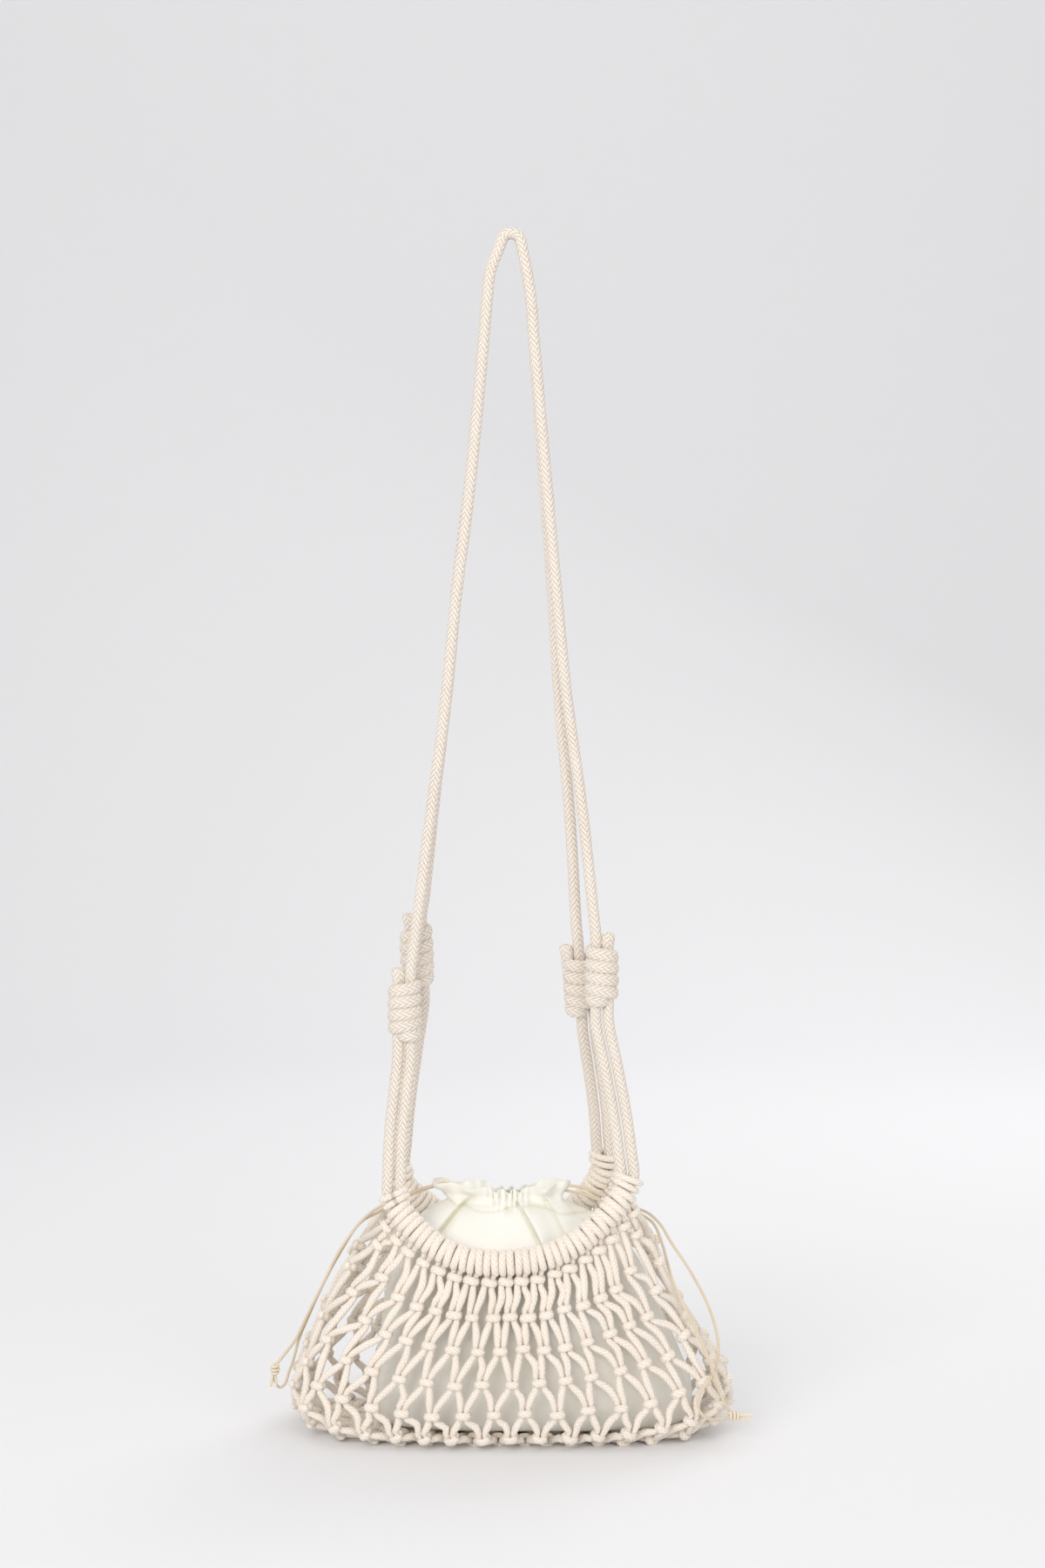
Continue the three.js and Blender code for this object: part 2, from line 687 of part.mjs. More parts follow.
function pouch() {
  const outer = pouchSections.map((row) => pouchRing(row, 0));
  const inner = pouchSections.filter((row) => row.inside).map((row) => pouchRing(row, pouchWall));
  const rings = [...outer].reverse().concat(inner);
  const points = rings.flat();
  const triangles = [];
  for (let ring = 0; ring < rings.length - 1; ring += 1) {
    for (let i = 0; i < pouchSides; i += 1) {
      const j = (i + 1) % pouchSides;
      const [a, b] = [ring * pouchSides + i, ring * pouchSides + j];
      const [c, d] = [a + pouchSides, b + pouchSides];
      triangles.push([a, b, d], [a, d, c]);
    }
  }
  const floorMiddle = pouchSections[pouchSections.length - 1].shift * pouchLength;
  const under = points.push(vec(floorMiddle, 0, pouchGround)) - 1;
  const over = points.push(vec(floorMiddle, 0, pouchGround + pouchWall)) - 1;
  const lastRing = (rings.length - 1) * pouchSides;
  for (let i = 0; i < pouchSides; i += 1) {
    const j = (i + 1) % pouchSides;
    triangles.push([under, j, i], [over, lastRing + i, lastRing + j]);
  }
  return outward(fromTriangles(points, triangles));
}

// Drawstrings: chosen points of each strand, from the pouch's neck to the knot at its end
const stringRoutes = {
  drawstring_left_straight: [
    [-49.85, -1, 187.4], [-61, -2, 184.5], [-70, -2, 182], [-82, -3, 177], [-99, -4, 169.5],
    [-112, -6, 160], [-130, -8, 136], [-142, -9, 112], [-154, -9, 88], [-163, -9, 69],
    [-171, -9, 58], [-177.5, -9, 49.8],
  ],
  drawstring_left_curled: [
    [-47.75, 3, 185.6], [-61, 3, 182.6], [-70, 2, 179.5], [-82, 1, 174.5], [-99, 0, 165],
    [-114.5, -2.5, 156.5], [-129.5, -5, 134.5], [-142.5, -6, 110.5], [-154, -6, 85],
    [-161, -6, 68], [-165.5, -6.5, 52], [-169, -7, 42], [-172, -7, 33.2], [-176, -6, 30.2],
    [-179.3, -6, 34], [-180, -6.4, 40],
  ],
  drawstring_right_outer: [
    [39.75, -1, 185.2], [52, -1, 183.6], [68, -2, 178], [86, -3, 170.5], [103, -6, 165],
    [113, -8, 156], [120, -11, 144.5], [134, -18, 124.5], [147, -26, 101], [153, -34, 84],
    [155, -42, 69.5], [153.5, -48, 60], [150, -55, 53], [144.5, -61, 47.5], [140, -64, 42],
    [138, -66, 36], [140, -66, 28.5], [146, -63, 22.5], [153, -57, 20.2], [161.2, -52, 19.9],
  ],
  drawstring_right_inner: [
    [39.45, 2.5, 180.6], [52, 2, 178.0], [62, 1, 175], [80, 0, 168.5], [98, -1, 162.5],
    [107.5, -5, 156.5], [113.5, -10, 143.5], [117.5, -16, 130], [121.5, -27, 117],
    [130.5, -39, 98.5], [140, -49, 81], [151, -58, 54.5], [157, -55.5, 36], [162.8, -50.5, 24.8],
  ],
};
const stringKnots = {
  drawstring_knot_left: { middle: [-179.4, -9, 45], towards: [-0.12, -0.02, -1] },
  drawstring_knot_right: { middle: [166.2, -50, 21], towards: [1, 0.1, -0.18] },
};

function stringStrand(name) {
  return tube(stringRoutes[name].map((point) => vec(...point)), stringDiameter, 8);
}

// An overhand knot with two short tips, on its own axis. Its outline has two ribs: radius and up
// as shares of half the knot's diameter and length.
const stringKnotOutline = [
  { radius: 0, up: -1 },
  { radius: 0.62, up: -1 },
  { radius: 1, up: -0.45 },
  { radius: 0.86, up: 0 },
  { radius: 1, up: 0.45 },
  { radius: 0.62, up: 1 },
  { radius: 0, up: 1 },
];
const tipForward = 0.3; // of a tip, as a share of the string's diameter
const tipApart = 0.62; // of a tip from the knot's axis, in the same share
const tipSpread = 2.1; // times as far apart at their ends

function stringKnot() {
  const half = stringKnotLength / 2;
  const outline = stringKnotOutline.map((row) => (
    new THREE.Vector2((row.radius * stringKnotDiameter) / 2, row.up * half)
  ));
  const body = new THREE.LatheGeometry(outline, 8);
  body.rotateX(Math.PI / 2);
  let solid = toSolid(body);
  for (const side of [-1, 1]) {
    const across = side * stringDiameter * tipApart;
    const forward = -stringDiameter * tipForward;
    const tip = tube(
      [
        vec(across, forward, 0),
        vec(across, forward, half),
        vec(across * tipSpread, forward, half + stringTipLength),
      ],
      stringDiameter,
      8,
    );
    solid = solid.add(toSolid(tip));
  }
  return toGeometry(solid);
}

// Assembly
const bag = new THREE.Group();
bag.position.z = -strapHeight;

function addPiece(name, geometry, shade) {
  const mesh = new THREE.Mesh(geometry, new THREE.MeshStandardMaterial(shades[shade]));
  mesh.name = name;
  bag.add(mesh);
  return mesh;
}

for (const [label, face] of [['front', -1], ['back', 1]]) {
  addPiece(`strap_rope_${label}`, strapRope(face), 'rope');
  addPiece(`rim_rope_${label}`, rimRope(face), 'rope');
  addPiece(`rim_wraps_${label}`, rimWraps(face), 'net');
}
for (const knot of knots) {
  const mesh = addPiece(`barrel_knot_${knot.name}`, barrelKnot(knot), 'rope');
  mesh.position.copy(knot.bottom);
  mesh.quaternion.copy(knot.turn);
}
addPiece('net', net(), 'net');
addPiece('pouch', pouch(), 'cloth');
for (const name of Object.keys(stringRoutes)) addPiece(name, stringStrand(name), 'string');
for (const [name, seat] of Object.entries(stringKnots)) {
  const mesh = addPiece(name, stringKnot(), 'string');
  mesh.position.set(...seat.middle);
  mesh.quaternion.setFromUnitVectors(upright, vec(...seat.towards).normalize());
}

const stringShoppingBag = new THREE.Group();
stringShoppingBag.add(bag);
export default stringShoppingBag;
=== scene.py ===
import json
import math

import bpy
import numpy as np
from mathutils import Matrix

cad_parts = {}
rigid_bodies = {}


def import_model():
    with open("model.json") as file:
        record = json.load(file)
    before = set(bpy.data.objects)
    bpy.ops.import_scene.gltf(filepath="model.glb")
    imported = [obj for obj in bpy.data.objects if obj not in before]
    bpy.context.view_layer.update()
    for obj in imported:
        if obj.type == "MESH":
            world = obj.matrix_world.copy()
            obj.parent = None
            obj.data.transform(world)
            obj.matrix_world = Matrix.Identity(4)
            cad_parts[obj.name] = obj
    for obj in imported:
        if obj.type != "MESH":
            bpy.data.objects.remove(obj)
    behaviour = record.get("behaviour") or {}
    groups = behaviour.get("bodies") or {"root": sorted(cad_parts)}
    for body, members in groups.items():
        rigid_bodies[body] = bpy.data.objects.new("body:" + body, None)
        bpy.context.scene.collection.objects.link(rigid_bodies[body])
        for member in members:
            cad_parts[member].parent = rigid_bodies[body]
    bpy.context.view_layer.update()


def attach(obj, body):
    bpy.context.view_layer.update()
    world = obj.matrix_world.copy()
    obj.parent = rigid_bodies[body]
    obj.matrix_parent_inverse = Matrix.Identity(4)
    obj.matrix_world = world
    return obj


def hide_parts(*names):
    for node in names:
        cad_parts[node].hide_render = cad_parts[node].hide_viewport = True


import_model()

# Sizes in metres. Heights are above the ground, and GROUND moves them to the row's origin.
GROUND = -0.8938
STRAP_HEIGHT = 0.8938
ROPE = 0.0085
BEND_RADIUS = 0.0076
FIT = 0.0003
ROPE_PITCH = ROPE + FIT

KNOT_LENGTH = 0.052
KNOT_WIDTH = 0.025
KNOT_TURNS = 4.4
COIL_SQUASH = 0.7
COIL_MARGIN = ROPE * 0.52
COIL_TOP_GAP = 0.0045
STUB_LENGTH = 0.009

MOUTH_LENGTH = 0.170
MOUTH_END_DEPTH = 0.090
MOUTH_MIDDLE_DEPTH = 0.124
RIM_HEIGHT = 0.141
RIM_RISE = 0.0437
RIM_TILT = 0.006
RIM_THICKNESS = 0.017
LEG_LENGTH = 0.133
BACK_RIGHT_REACH = 0.84
RIM_TURNS = 36
END_TURNS = 2

NET_LENGTH = 0.330
NET_DEPTH = 0.145
SIDE_HEIGHT = 0.152
SIDE_REACH = 0.212
SIDE_SHIFT = -0.005
NET_CORD = 0.0053
NET_BASE = 0.0037
NET_SEAT = 0.0021
NET_COLUMNS = 36

POUCH_LENGTH = 0.243
POUCH_DEPTH = 0.118
POUCH_HEIGHT = 0.181
POUCH_GROUND = 0.0086
POUCH_WALL = 0.0010

STRING = 0.0022

TAU = 2 * math.pi
SCENE = bpy.context.scene


def vec(*numbers):
    return np.array(numbers, dtype=float)


def unit(v):
    return v / max(np.linalg.norm(v), 1e-12)


def mix(a, b, share):
    return a + (b - a) * share


def ease(x):
    x = np.clip(x, 0, 1)
    return x * x * (3 - 2 * x)


def grounded(points):
    """Points in the row's frame, from points with heights above the ground."""
    moved = np.array(points, dtype=float)
    moved[..., 2] += GROUND
    return moved


# Camera at the photograph's angle
camera = bpy.data.cameras.new("camera")
camera.lens = 73.85
camera.sensor_width = 36
camera_object = bpy.data.objects.new("camera", camera)
camera_object.location = (0.00845, -2.4, -0.19406)
camera_object.rotation_euler = (math.radians(85), 0, 0)
SCENE.collection.objects.link(camera_object)
SCENE.camera = camera_object
SCENE.view_settings.view_transform = "Standard"


# Drawstrings: the points of each strand from the pouch's neck to its knot, in millimetres
STRING_ROUTES = {
    "left_straight": [
        (-49.85, -1, 187.4), (-61, -2, 184.5), (-70, -2, 182), (-82, -3, 177), (-99, -4, 169.5),
        (-112, -6, 160), (-130, -8, 136), (-142, -9, 112), (-154, -9, 88), (-163, -9, 69),
        (-171, -9, 58), (-177.5, -9, 49.8),
    ],
    "left_curled": [
        (-47.75, 3, 185.6), (-61, 3, 182.6), (-70, 2, 179.5), (-82, 1, 174.5), (-99, 0, 165),
        (-114.5, -2.5, 156.5), (-129.5, -5, 134.5), (-142.5, -6, 110.5), (-154, -6, 85),
        (-161, -6, 68), (-165.5, -6.5, 52), (-169, -7, 42), (-172, -7, 33.2), (-176, -6, 30.2),
        (-179.3, -6, 34), (-180, -6.4, 40),
    ],
    "right_outer": [
        (39.75, -1, 185.2), (52, -1, 183.6), (68, -2, 178), (86, -3, 170.5), (103, -6, 165),
        (113, -8, 156), (120, -11, 144.5), (134, -18, 124.5), (147, -26, 101), (153, -34, 84),
        (155, -42, 69.5), (153.5, -48, 60), (150, -55, 53), (144.5, -61, 47.5), (140, -64, 42),
        (138, -66, 36), (140, -66, 28.5), (146, -63, 22.5), (153, -57, 20.2), (161.2, -52, 19.9),
    ],
    "right_inner": [
        (39.45, 2.5, 180.6), (52, 2, 178.0), (62, 1, 175), (80, 0, 168.5), (98, -1, 162.5),
        (107.5, -5, 156.5), (113.5, -10, 143.5), (117.5, -16, 130), (121.5, -27, 117),
        (130.5, -39, 98.5), (140, -49, 81), (151, -58, 54.5), (157, -55.5, 36),
        (162.8, -50.5, 24.8),
    ],
}


def smooth_line(points, steps):
    """A centripetal Catmull-Rom line through points, with steps in each span."""
    points = np.asarray(points, dtype=float)
    padded = np.vstack([2 * points[0] - points[1], points, 2 * points[-1] - points[-2]])
    line = []
    for i in range(1, len(padded) - 2):
        p = padded[i - 1:i + 3]
        gaps = np.sqrt(np.maximum(np.linalg.norm(np.diff(p, axis=0), axis=1), 1e-9))
        k = np.concatenate([[0], np.cumsum(gaps)])
        count = steps + 1 if i == len(padded) - 3 else steps
        t = (k[1] + (k[2] - k[1]) * np.arange(count) / steps)[:, None]
        a = [mix(p[n], p[n + 1], (t - k[n]) / (k[n + 1] - k[n])) for n in range(3)]
        b = [mix(a[n], a[n + 1], (t - k[n]) / (k[n + 2] - k[n])) for n in range(2)]
        line.append(mix(b[0], b[1], (t - k[1]) / (k[2] - k[1])))
    return np.vstack(line)


def string_curve(name, points):
    """A round string as a curve of one open spline."""
    curve = bpy.data.curves.new(name, "CURVE")
    curve.dimensions = "3D"
    curve.bevel_depth = STRING / 2
    curve.bevel_resolution = 3
    curve.use_fill_caps = True
    spline = curve.splines.new("POLY")
    spline.points.add(len(points) - 1)
    for at, point in zip(spline.points, points):
        at.co = (*point, 1)
    spline.use_smooth = True
    piece = bpy.data.objects.new(name, curve)
    SCENE.collection.objects.link(piece)
    return piece


strings = {}
string_lines = {}
for name, route in STRING_ROUTES.items():
    line = grounded(smooth_line(np.array(route) / 1000, 5))
    string_lines[name] = line
    strings[name] = string_curve("string_" + name, line)


# Node helpers
def add_node(tree, kind, values=None, **settings):
    node = tree.nodes.new(kind)
    for key, value in settings.items():
        setattr(node, key, value)
    for key, value in (values or {}).items():
        if isinstance(value, bpy.types.NodeSocket):
            tree.links.new(value, node.inputs[key])
        else:
            node.inputs[key].default_value = value
    return node


def maths(tree, operation, *values):
    node = tree.nodes.new("ShaderNodeMath")
    node.operation = operation
    for at, value in enumerate(values):
        if isinstance(value, bpy.types.NodeSocket):
            tree.links.new(value, node.inputs[at])
        else:
            node.inputs[at].default_value = value
    return node.outputs[0]


def new_geometry_tree(name, sockets):
    tree = bpy.data.node_groups.new(name, "GeometryNodeTree")
    tree.is_modifier = True
    tree.interface.new_socket("Geometry", in_out="INPUT", socket_type="NodeSocketGeometry")
    for label, kind, value in sockets:
        socket = tree.interface.new_socket(label, in_out="INPUT", socket_type=kind)
        if value is not None:
            socket.default_value = value
    tree.interface.new_socket("Geometry", in_out="OUTPUT", socket_type="NodeSocketGeometry")
    return tree


def cord_tree():
    """Round or flattened cords along lines. Each point keeps its place round and along the cord."""
    tree = new_geometry_tree("cords_along_lines", [
        ("Diameter", "NodeSocketFloat", NET_CORD),
        ("Width", "NodeSocketFloat", 1.0),
        ("Height", "NodeSocketFloat", 1.0),
        ("Sides", "NodeSocketInt", 8),
        ("Step", "NodeSocketFloat", 0.004),
        ("Upright", "NodeSocketBool", False),
        ("Material", "NodeSocketMaterial", None),
    ])
    start = add_node(tree, "NodeGroupInput").outputs
    line = add_node(tree, "GeometryNodeMeshToCurve", {"Mesh": start["Geometry"]})
    smooth = add_node(tree, "GeometryNodeCurveSplineType", {"Curve": line.outputs[0]},
                      spline_type="CATMULL_ROM")
    even = add_node(tree, "GeometryNodeResampleCurve", {"Curve": smooth.outputs[0]}, mode="LENGTH")
    tree.links.new(start["Step"], even.inputs["Length"])
    free = add_node(tree, "GeometryNodeSetCurveNormal", {"Curve": even.outputs[0]},
                    mode="MINIMUM_TWIST")
    upright = add_node(tree, "GeometryNodeSetCurveNormal", {"Curve": even.outputs[0]}, mode="Z_UP")
    choose = add_node(tree, "GeometryNodeSwitch", {
        "Switch": start["Upright"], "False": free.outputs[0], "True": upright.outputs[0],
    }, input_type="GEOMETRY")
    thickness = add_node(tree, "GeometryNodeInputNamedAttribute", {"Name": "thickness"},
                         data_type="FLOAT")
    round_ = add_node(tree, "GeometryNodeSetCurveRadius", {
        "Curve": choose.outputs[0], "Radius": thickness.outputs[0],
    })
    place = add_node(tree, "GeometryNodeSplineParameter")
    keep_line = add_node(tree, "GeometryNodeCaptureAttribute", domain="POINT")
    keep_line.capture_items.new("FLOAT", "Along")
    tree.links.new(round_.outputs[0], keep_line.inputs[0])
    tree.links.new(place.outputs["Length"], keep_line.inputs[1])
    circle = add_node(tree, "GeometryNodeCurvePrimitiveCircle", {
        "Resolution": start["Sides"],
        "Radius": maths(tree, "MULTIPLY", start["Diameter"], 0.5),
    }, mode="RADIUS")
    flatten = add_node(tree, "ShaderNodeCombineXYZ", {
        "X": start["Width"], "Y": start["Height"], "Z": 1.0,
    })
    section = add_node(tree, "GeometryNodeTransform", {
        "Geometry": circle.outputs[0], "Scale": flatten.outputs[0],
    })
    keep_round = add_node(tree, "GeometryNodeCaptureAttribute", domain="POINT")
    keep_round.capture_items.new("FLOAT", "Round")
    tree.links.new(section.outputs[0], keep_round.inputs[0])
    tree.links.new(place.outputs["Factor"], keep_round.inputs[1])
    skin = add_node(tree, "GeometryNodeCurveToMesh", {
        "Curve": keep_line.outputs[0], "Profile Curve": keep_round.outputs[0], "Fill Caps": True,
    })
    if "Scale" in skin.inputs:
        tree.links.new(thickness.outputs[0], skin.inputs["Scale"])
    angle = maths(tree, "MULTIPLY", keep_round.outputs[1], TAU)
    where = add_node(tree, "ShaderNodeCombineXYZ", {
        "X": maths(tree, "COSINE", angle), "Y": maths(tree, "SINE", angle),
        "Z": keep_line.outputs[1],
    })
    store = add_node(tree, "GeometryNodeStoreNamedAttribute", {
        "Geometry": skin.outputs[0], "Name": "cord",
    }, data_type="FLOAT_VECTOR", domain="POINT")
    tree.links.new(where.outputs[0], store.inputs["Value"])
    shade = add_node(tree, "GeometryNodeSetShadeSmooth", {"Geometry": store.outputs[0]})
    finish = add_node(tree, "GeometryNodeSetMaterial", {
        "Geometry": shade.outputs[0], "Material": start["Material"],
    })
    add_node(tree, "NodeGroupOutput", {"Geometry": finish.outputs[0]})
    return tree


def scatter_tree():
    """One shape repeated at points, each with its own turn and size."""
    tree = new_geometry_tree("shape_at_points", [
        ("Shape", "NodeSocketObject", None),
        ("Material", "NodeSocketMaterial", None),
    ])
    start = add_node(tree, "NodeGroupInput").outputs
    shape = add_node(tree, "GeometryNodeObjectInfo", {"Object": start["Shape"]})
    turn = add_node(tree, "GeometryNodeInputNamedAttribute", {"Name": "turn"},
                    data_type="FLOAT_VECTOR")
    size = add_node(tree, "GeometryNodeInputNamedAttribute", {"Name": "size"},
                    data_type="FLOAT_VECTOR")
    rotation = add_node(tree, "FunctionNodeEulerToRotation", {"Euler": turn.outputs[0]})
    place = add_node(tree, "GeometryNodeInstanceOnPoints", {
        "Points": start["Geometry"], "Instance": shape.outputs["Geometry"],
        "Rotation": rotation.outputs[0], "Scale": size.outputs[0],
    })
    real = add_node(tree, "GeometryNodeRealizeInstances", {"Geometry": place.outputs[0]})
    shade = add_node(tree, "GeometryNodeSetShadeSmooth", {"Geometry": real.outputs[0]})
    finish = add_node(tree, "GeometryNodeSetMaterial", {
        "Geometry": shade.outputs[0], "Material": start["Material"],
    })
    add_node(tree, "NodeGroupOutput", {"Geometry": finish.outputs[0]})
    return tree


CORDS = cord_tree()
SCATTER = scatter_tree()


def plain_mesh(name, host, tree, inputs):
    """The result of a node tree on a host mesh, as a plain mesh object."""
    carrier = bpy.data.objects.new(name + "_carrier", host)
    SCENE.collection.objects.link(carrier)
    modifier = carrier.modifiers.new("nodes", "NODES")
    modifier.node_group = tree
    for item in tree.interface.items_tree:
        if item.item_type == "SOCKET" and item.in_out == "INPUT" and item.name in inputs:
            modifier[item.identifier] = inputs[item.name]
    graph = bpy.context.evaluated_depsgraph_get()
    graph.update()
    mesh = bpy.data.meshes.new_from_object(carrier.evaluated_get(graph), depsgraph=graph)
    mesh.name = name
    bpy.data.objects.remove(carrier)
    bpy.data.meshes.remove(host)
    piece = bpy.data.objects.new(name, mesh)
    SCENE.collection.objects.link(piece)
    return piece


def host_lines(lines):
    """A mesh of plain edges. A line is its points, its thickness at each, and if it closes."""
    points = np.vstack([line["points"] for line in lines])
    edges = []
    thickness = []
    first = 0
    for line in lines:
        count = len(line["points"])
        edges += [(first + i, first + i + 1) for i in range(count - 1)]
        if line.get("closed"):
            edges.append((first + count - 1, first))
        thickness.append(np.broadcast_to(line.get("thickness", 1.0), count))
        first += count
    mesh = bpy.data.meshes.new("lines")
    mesh.from_pydata(points.tolist(), edges, [])
    mesh.attributes.new("thickness", "FLOAT", "POINT").data.foreach_set(
        "value", np.concatenate(thickness))
    return mesh


def make_cords(name, lines, **inputs):
    return plain_mesh(name, host_lines(lines), CORDS, inputs)


def make_scatter(name, shape, places, material):
    """places are dictionaries of a point, three axes and a size."""
    mesh = bpy.data.meshes.new("points")
    mesh.from_pydata([place["point"].tolist() for place in places], [], [])
    turns = []
    for place in places:
        axes = np.array(place["axes"]).T
        turns += Matrix(axes.tolist()).to_euler()[:]
    mesh.attributes.new("turn", "FLOAT_VECTOR", "POINT").data.foreach_set("vector", turns)
    sizes = [number for place in places for number in place.get("size", (1, 1, 1))]
    mesh.attributes.new("size", "FLOAT_VECTOR", "POINT").data.foreach_set("vector", sizes)
    return plain_mesh(name, mesh, SCATTER, {"Shape": shape, "Material": material})


def joined(name, *pieces):
    """One mesh object from several."""
    for piece in bpy.data.objects:
        piece.select_set(False)
    for piece in pieces:
        piece.select_set(True)
    bpy.context.view_layer.objects.active = pieces[0]
    bpy.ops.object.join()
    pieces[0].name = name
    return pieces[0]


# Materials
def linear(r, g, b):
    """A linear colour from screen values between 11 and 255."""
    return tuple(((c / 255 + 0.055) / 1.055) ** 2.4 for c in (r, g, b)) + (1,)


def new_material(name, roughness):
    material = bpy.data.materials.new(name)
    material.use_nodes = True
    tree = material.node_tree
    shader = tree.nodes["Principled BSDF"]
    shader.inputs["Roughness"].default_value = roughness
    shader.inputs["Specular IOR Level"].default_value = 0.25
    return material, tree, shader


def braid_material(name, diameter, strands, lean, light, groove_shade, depth, sheen):
    """Braided cotton: strands that lean both ways round the cord, each over two and under two."""
    material, tree, shader = new_material(name, 0.92)
    cord = add_node(tree, "ShaderNodeAttribute", attribute_name="cord")
    part = add_node(tree, "ShaderNodeSeparateXYZ", {0: cord.outputs["Vector"]})
    round_ = maths(tree, "MULTIPLY", maths(tree, "ARCTAN2", part.outputs[1], part.outputs[0]),
                   strands / TAU)
    along = maths(tree, "MULTIPLY", part.outputs[2],
                  strands * math.tan(math.radians(lean)) / (math.pi * diameter))
    one = maths(tree, "ADD", round_, along)
    other = maths(tree, "SUBTRACT", round_, along)
    both = maths(tree, "ADD", maths(tree, "FLOOR", one), maths(tree, "FLOOR", other))
    over = maths(tree, "LESS_THAN", maths(tree, "FLOORED_MODULO", both, 4.0), 2.0)
    chosen = add_node(tree, "ShaderNodeMix", {0: over, 2: other, 3: one}, data_type="FLOAT")
    across = maths(tree, "SUBTRACT",
                   maths(tree, "MULTIPLY", maths(tree, "FRACT", chosen.outputs[0]), 2.0), 1.0)
    ridge = maths(tree, "SUBTRACT", 1.0, maths(tree, "MULTIPLY", across, across))
    place = add_node(tree, "ShaderNodeTexCoord").outputs["Object"]
    fibres = add_node(tree, "ShaderNodeTexNoise", {
        "Vector": place, "Scale": 2600.0, "Detail": 2.0, "Roughness": 0.6,
    })
    cloudy = add_node(tree, "ShaderNodeTexNoise", {
        "Vector": place, "Scale": 38.0, "Detail": 3.0, "Roughness": 0.55,
    })
    height = maths(tree, "ADD", ridge, maths(tree, "MULTIPLY", fibres.outputs[0], 0.45))
    bump = add_node(tree, "ShaderNodeBump", {
        "Height": height, "Distance": depth, "Strength": 0.75,
    })
    tree.links.new(bump.outputs[0], shader.inputs["Normal"])
    # Painted shade: the colour darkens toward the grooves between strands and lightens on their
    # crests, with random clouding of the cotton's tone on top.
    shade = maths(tree, "ADD", maths(tree, "MULTIPLY", ridge, 0.75),
                  maths(tree, "MULTIPLY", cloudy.outputs[0], 0.5))
    colour = add_node(tree, "ShaderNodeValToRGB", {"Fac": shade})
    colour.color_ramp.elements[0].position = 0.1
    colour.color_ramp.elements[0].color = linear(*groove_shade)
    colour.color_ramp.elements[1].position = 0.85
    colour.color_ramp.elements[1].color = linear(*light)
    tree.links.new(colour.outputs[0], shader.inputs["Base Color"])
    shader.inputs["Sheen Weight"].default_value = sheen
    shader.inputs["Sheen Roughness"].default_value = 0.6
    return material


def cloth_material():
    """Ivory sateen: fine threads, a soft sheen, faint clouding and painted shade in its creases."""
    material, tree, shader = new_material("ivory_sateen", 0.6)
    place = add_node(tree, "ShaderNodeTexCoord").outputs["Object"]
    threads = []
    for axis, scale in (("X", 2400.0), ("Z", 1900.0)):
        threads.append(add_node(tree, "ShaderNodeTexWave", {
            "Vector": place, "Scale": scale / 6, "Distortion": 1.5, "Detail": 2.0,
            "Detail Scale": 3.0,
        }, wave_type="BANDS", bands_direction=axis).outputs["Fac"])
    cloudy = add_node(tree, "ShaderNodeTexNoise", {
        "Vector": place, "Scale": 22.0, "Detail": 4.0, "Roughness": 0.6,
    })
    weave = maths(tree, "ADD", *threads)
    bump = add_node(tree, "ShaderNodeBump", {"Height": weave, "Distance": 0.0001, "Strength": 0.25})
    crumple = add_node(tree, "ShaderNodeBump", {
        "Height": cloudy.outputs[0], "Distance": 0.002, "Strength": 0.3, "Normal": bump.outputs[0],
    })
    tree.links.new(crumple.outputs[0], shader.inputs["Normal"])
    colour = add_node(tree, "ShaderNodeValToRGB", {"Fac": cloudy.outputs[0]})
    colour.color_ramp.elements[0].position = 0.25
    colour.color_ramp.elements[0].color = linear(241, 239, 230)
    colour.color_ramp.elements[1].position = 0.75
    colour.color_ramp.elements[1].color = linear(249, 248, 243)
    # Painted shade: a point attribute of the pouch mixes in a darker warm grey in its folds,
    # dimples, ruffles and seam.
    crease = add_node(tree, "ShaderNodeAttribute", attribute_name="crease")
    crease_shaded_colour = add_node(tree, "ShaderNodeMix", {
        0: maths(tree, "MULTIPLY", crease.outputs["Fac"], 0.75), 6: colour.outputs[0],
        7: linear(206, 200, 164),
    }, data_type="RGBA")
    tree.links.new(crease_shaded_colour.outputs[2], shader.inputs["Base Color"])
    shader.inputs["Sheen Weight"].default_value = 0.15
    shader.inputs["Sheen Roughness"].default_value = 0.35
    return material


# The second colour of each braid is painted shade for the grooves between its strands.
ROPE_FINISH = braid_material("braided_rope", ROPE, 8, 38, (250, 241, 230), (222, 203, 180),
                             0.0011, 0.3)
CORD_FINISH = braid_material("braided_net_cord", NET_CORD, 6, 40, (250, 241, 230), (233, 216, 196),
                             0.0004, 0.3)
STRING_FINISH = braid_material("waxed_string", STRING, 4, 45, (240, 228, 208), (218, 202, 176),
                               0.0001, 0.1)
CLOTH_FINISH = cloth_material()


# Rims
def rim_point(face, along):
    ends = along * along
    reach = mix(1, BACK_RIGHT_REACH, ends) if face > 0 and along > 0 else 1
    return vec(
        along * reach * MOUTH_LENGTH / 2,
        face * mix(MOUTH_MIDDLE_DEPTH, MOUTH_END_DEPTH, ends) / 2,
        RIM_HEIGHT + RIM_RISE * abs(along) ** 2.6 + RIM_TILT * along,
    )


def distances(line):
    """How far along a line each of its points is."""
    return np.concatenate([[0], np.cumsum(np.linalg.norm(np.diff(line, axis=0), axis=1))])


RIM_STEPS = np.linspace(-1, 1, 401)
RIM_FAR = {
    face: distances(np.array([rim_point(face, along) for along in RIM_STEPS])) for face in (-1, 1)
}


def rim_along(face, share):
    """The place on a rim at an even share of its length, from -1 at the left to 1."""
    far = RIM_FAR[face]
    return float(np.interp((share + 1) / 2 * far[-1], far, RIM_STEPS))


def rim_frame(face, along):
    """Along the rim, outwards, and up square to the rim."""
    tangent = unit(rim_point(face, along + 0.01) - rim_point(face, along - 0.01))
    up = unit(vec(0, 0, 1) - tangent * tangent[2])
    return tangent, np.cross(up, tangent), up


def rim_outward(face, side):
    return unit(rim_point(face, side) - rim_point(face, side * 0.98))


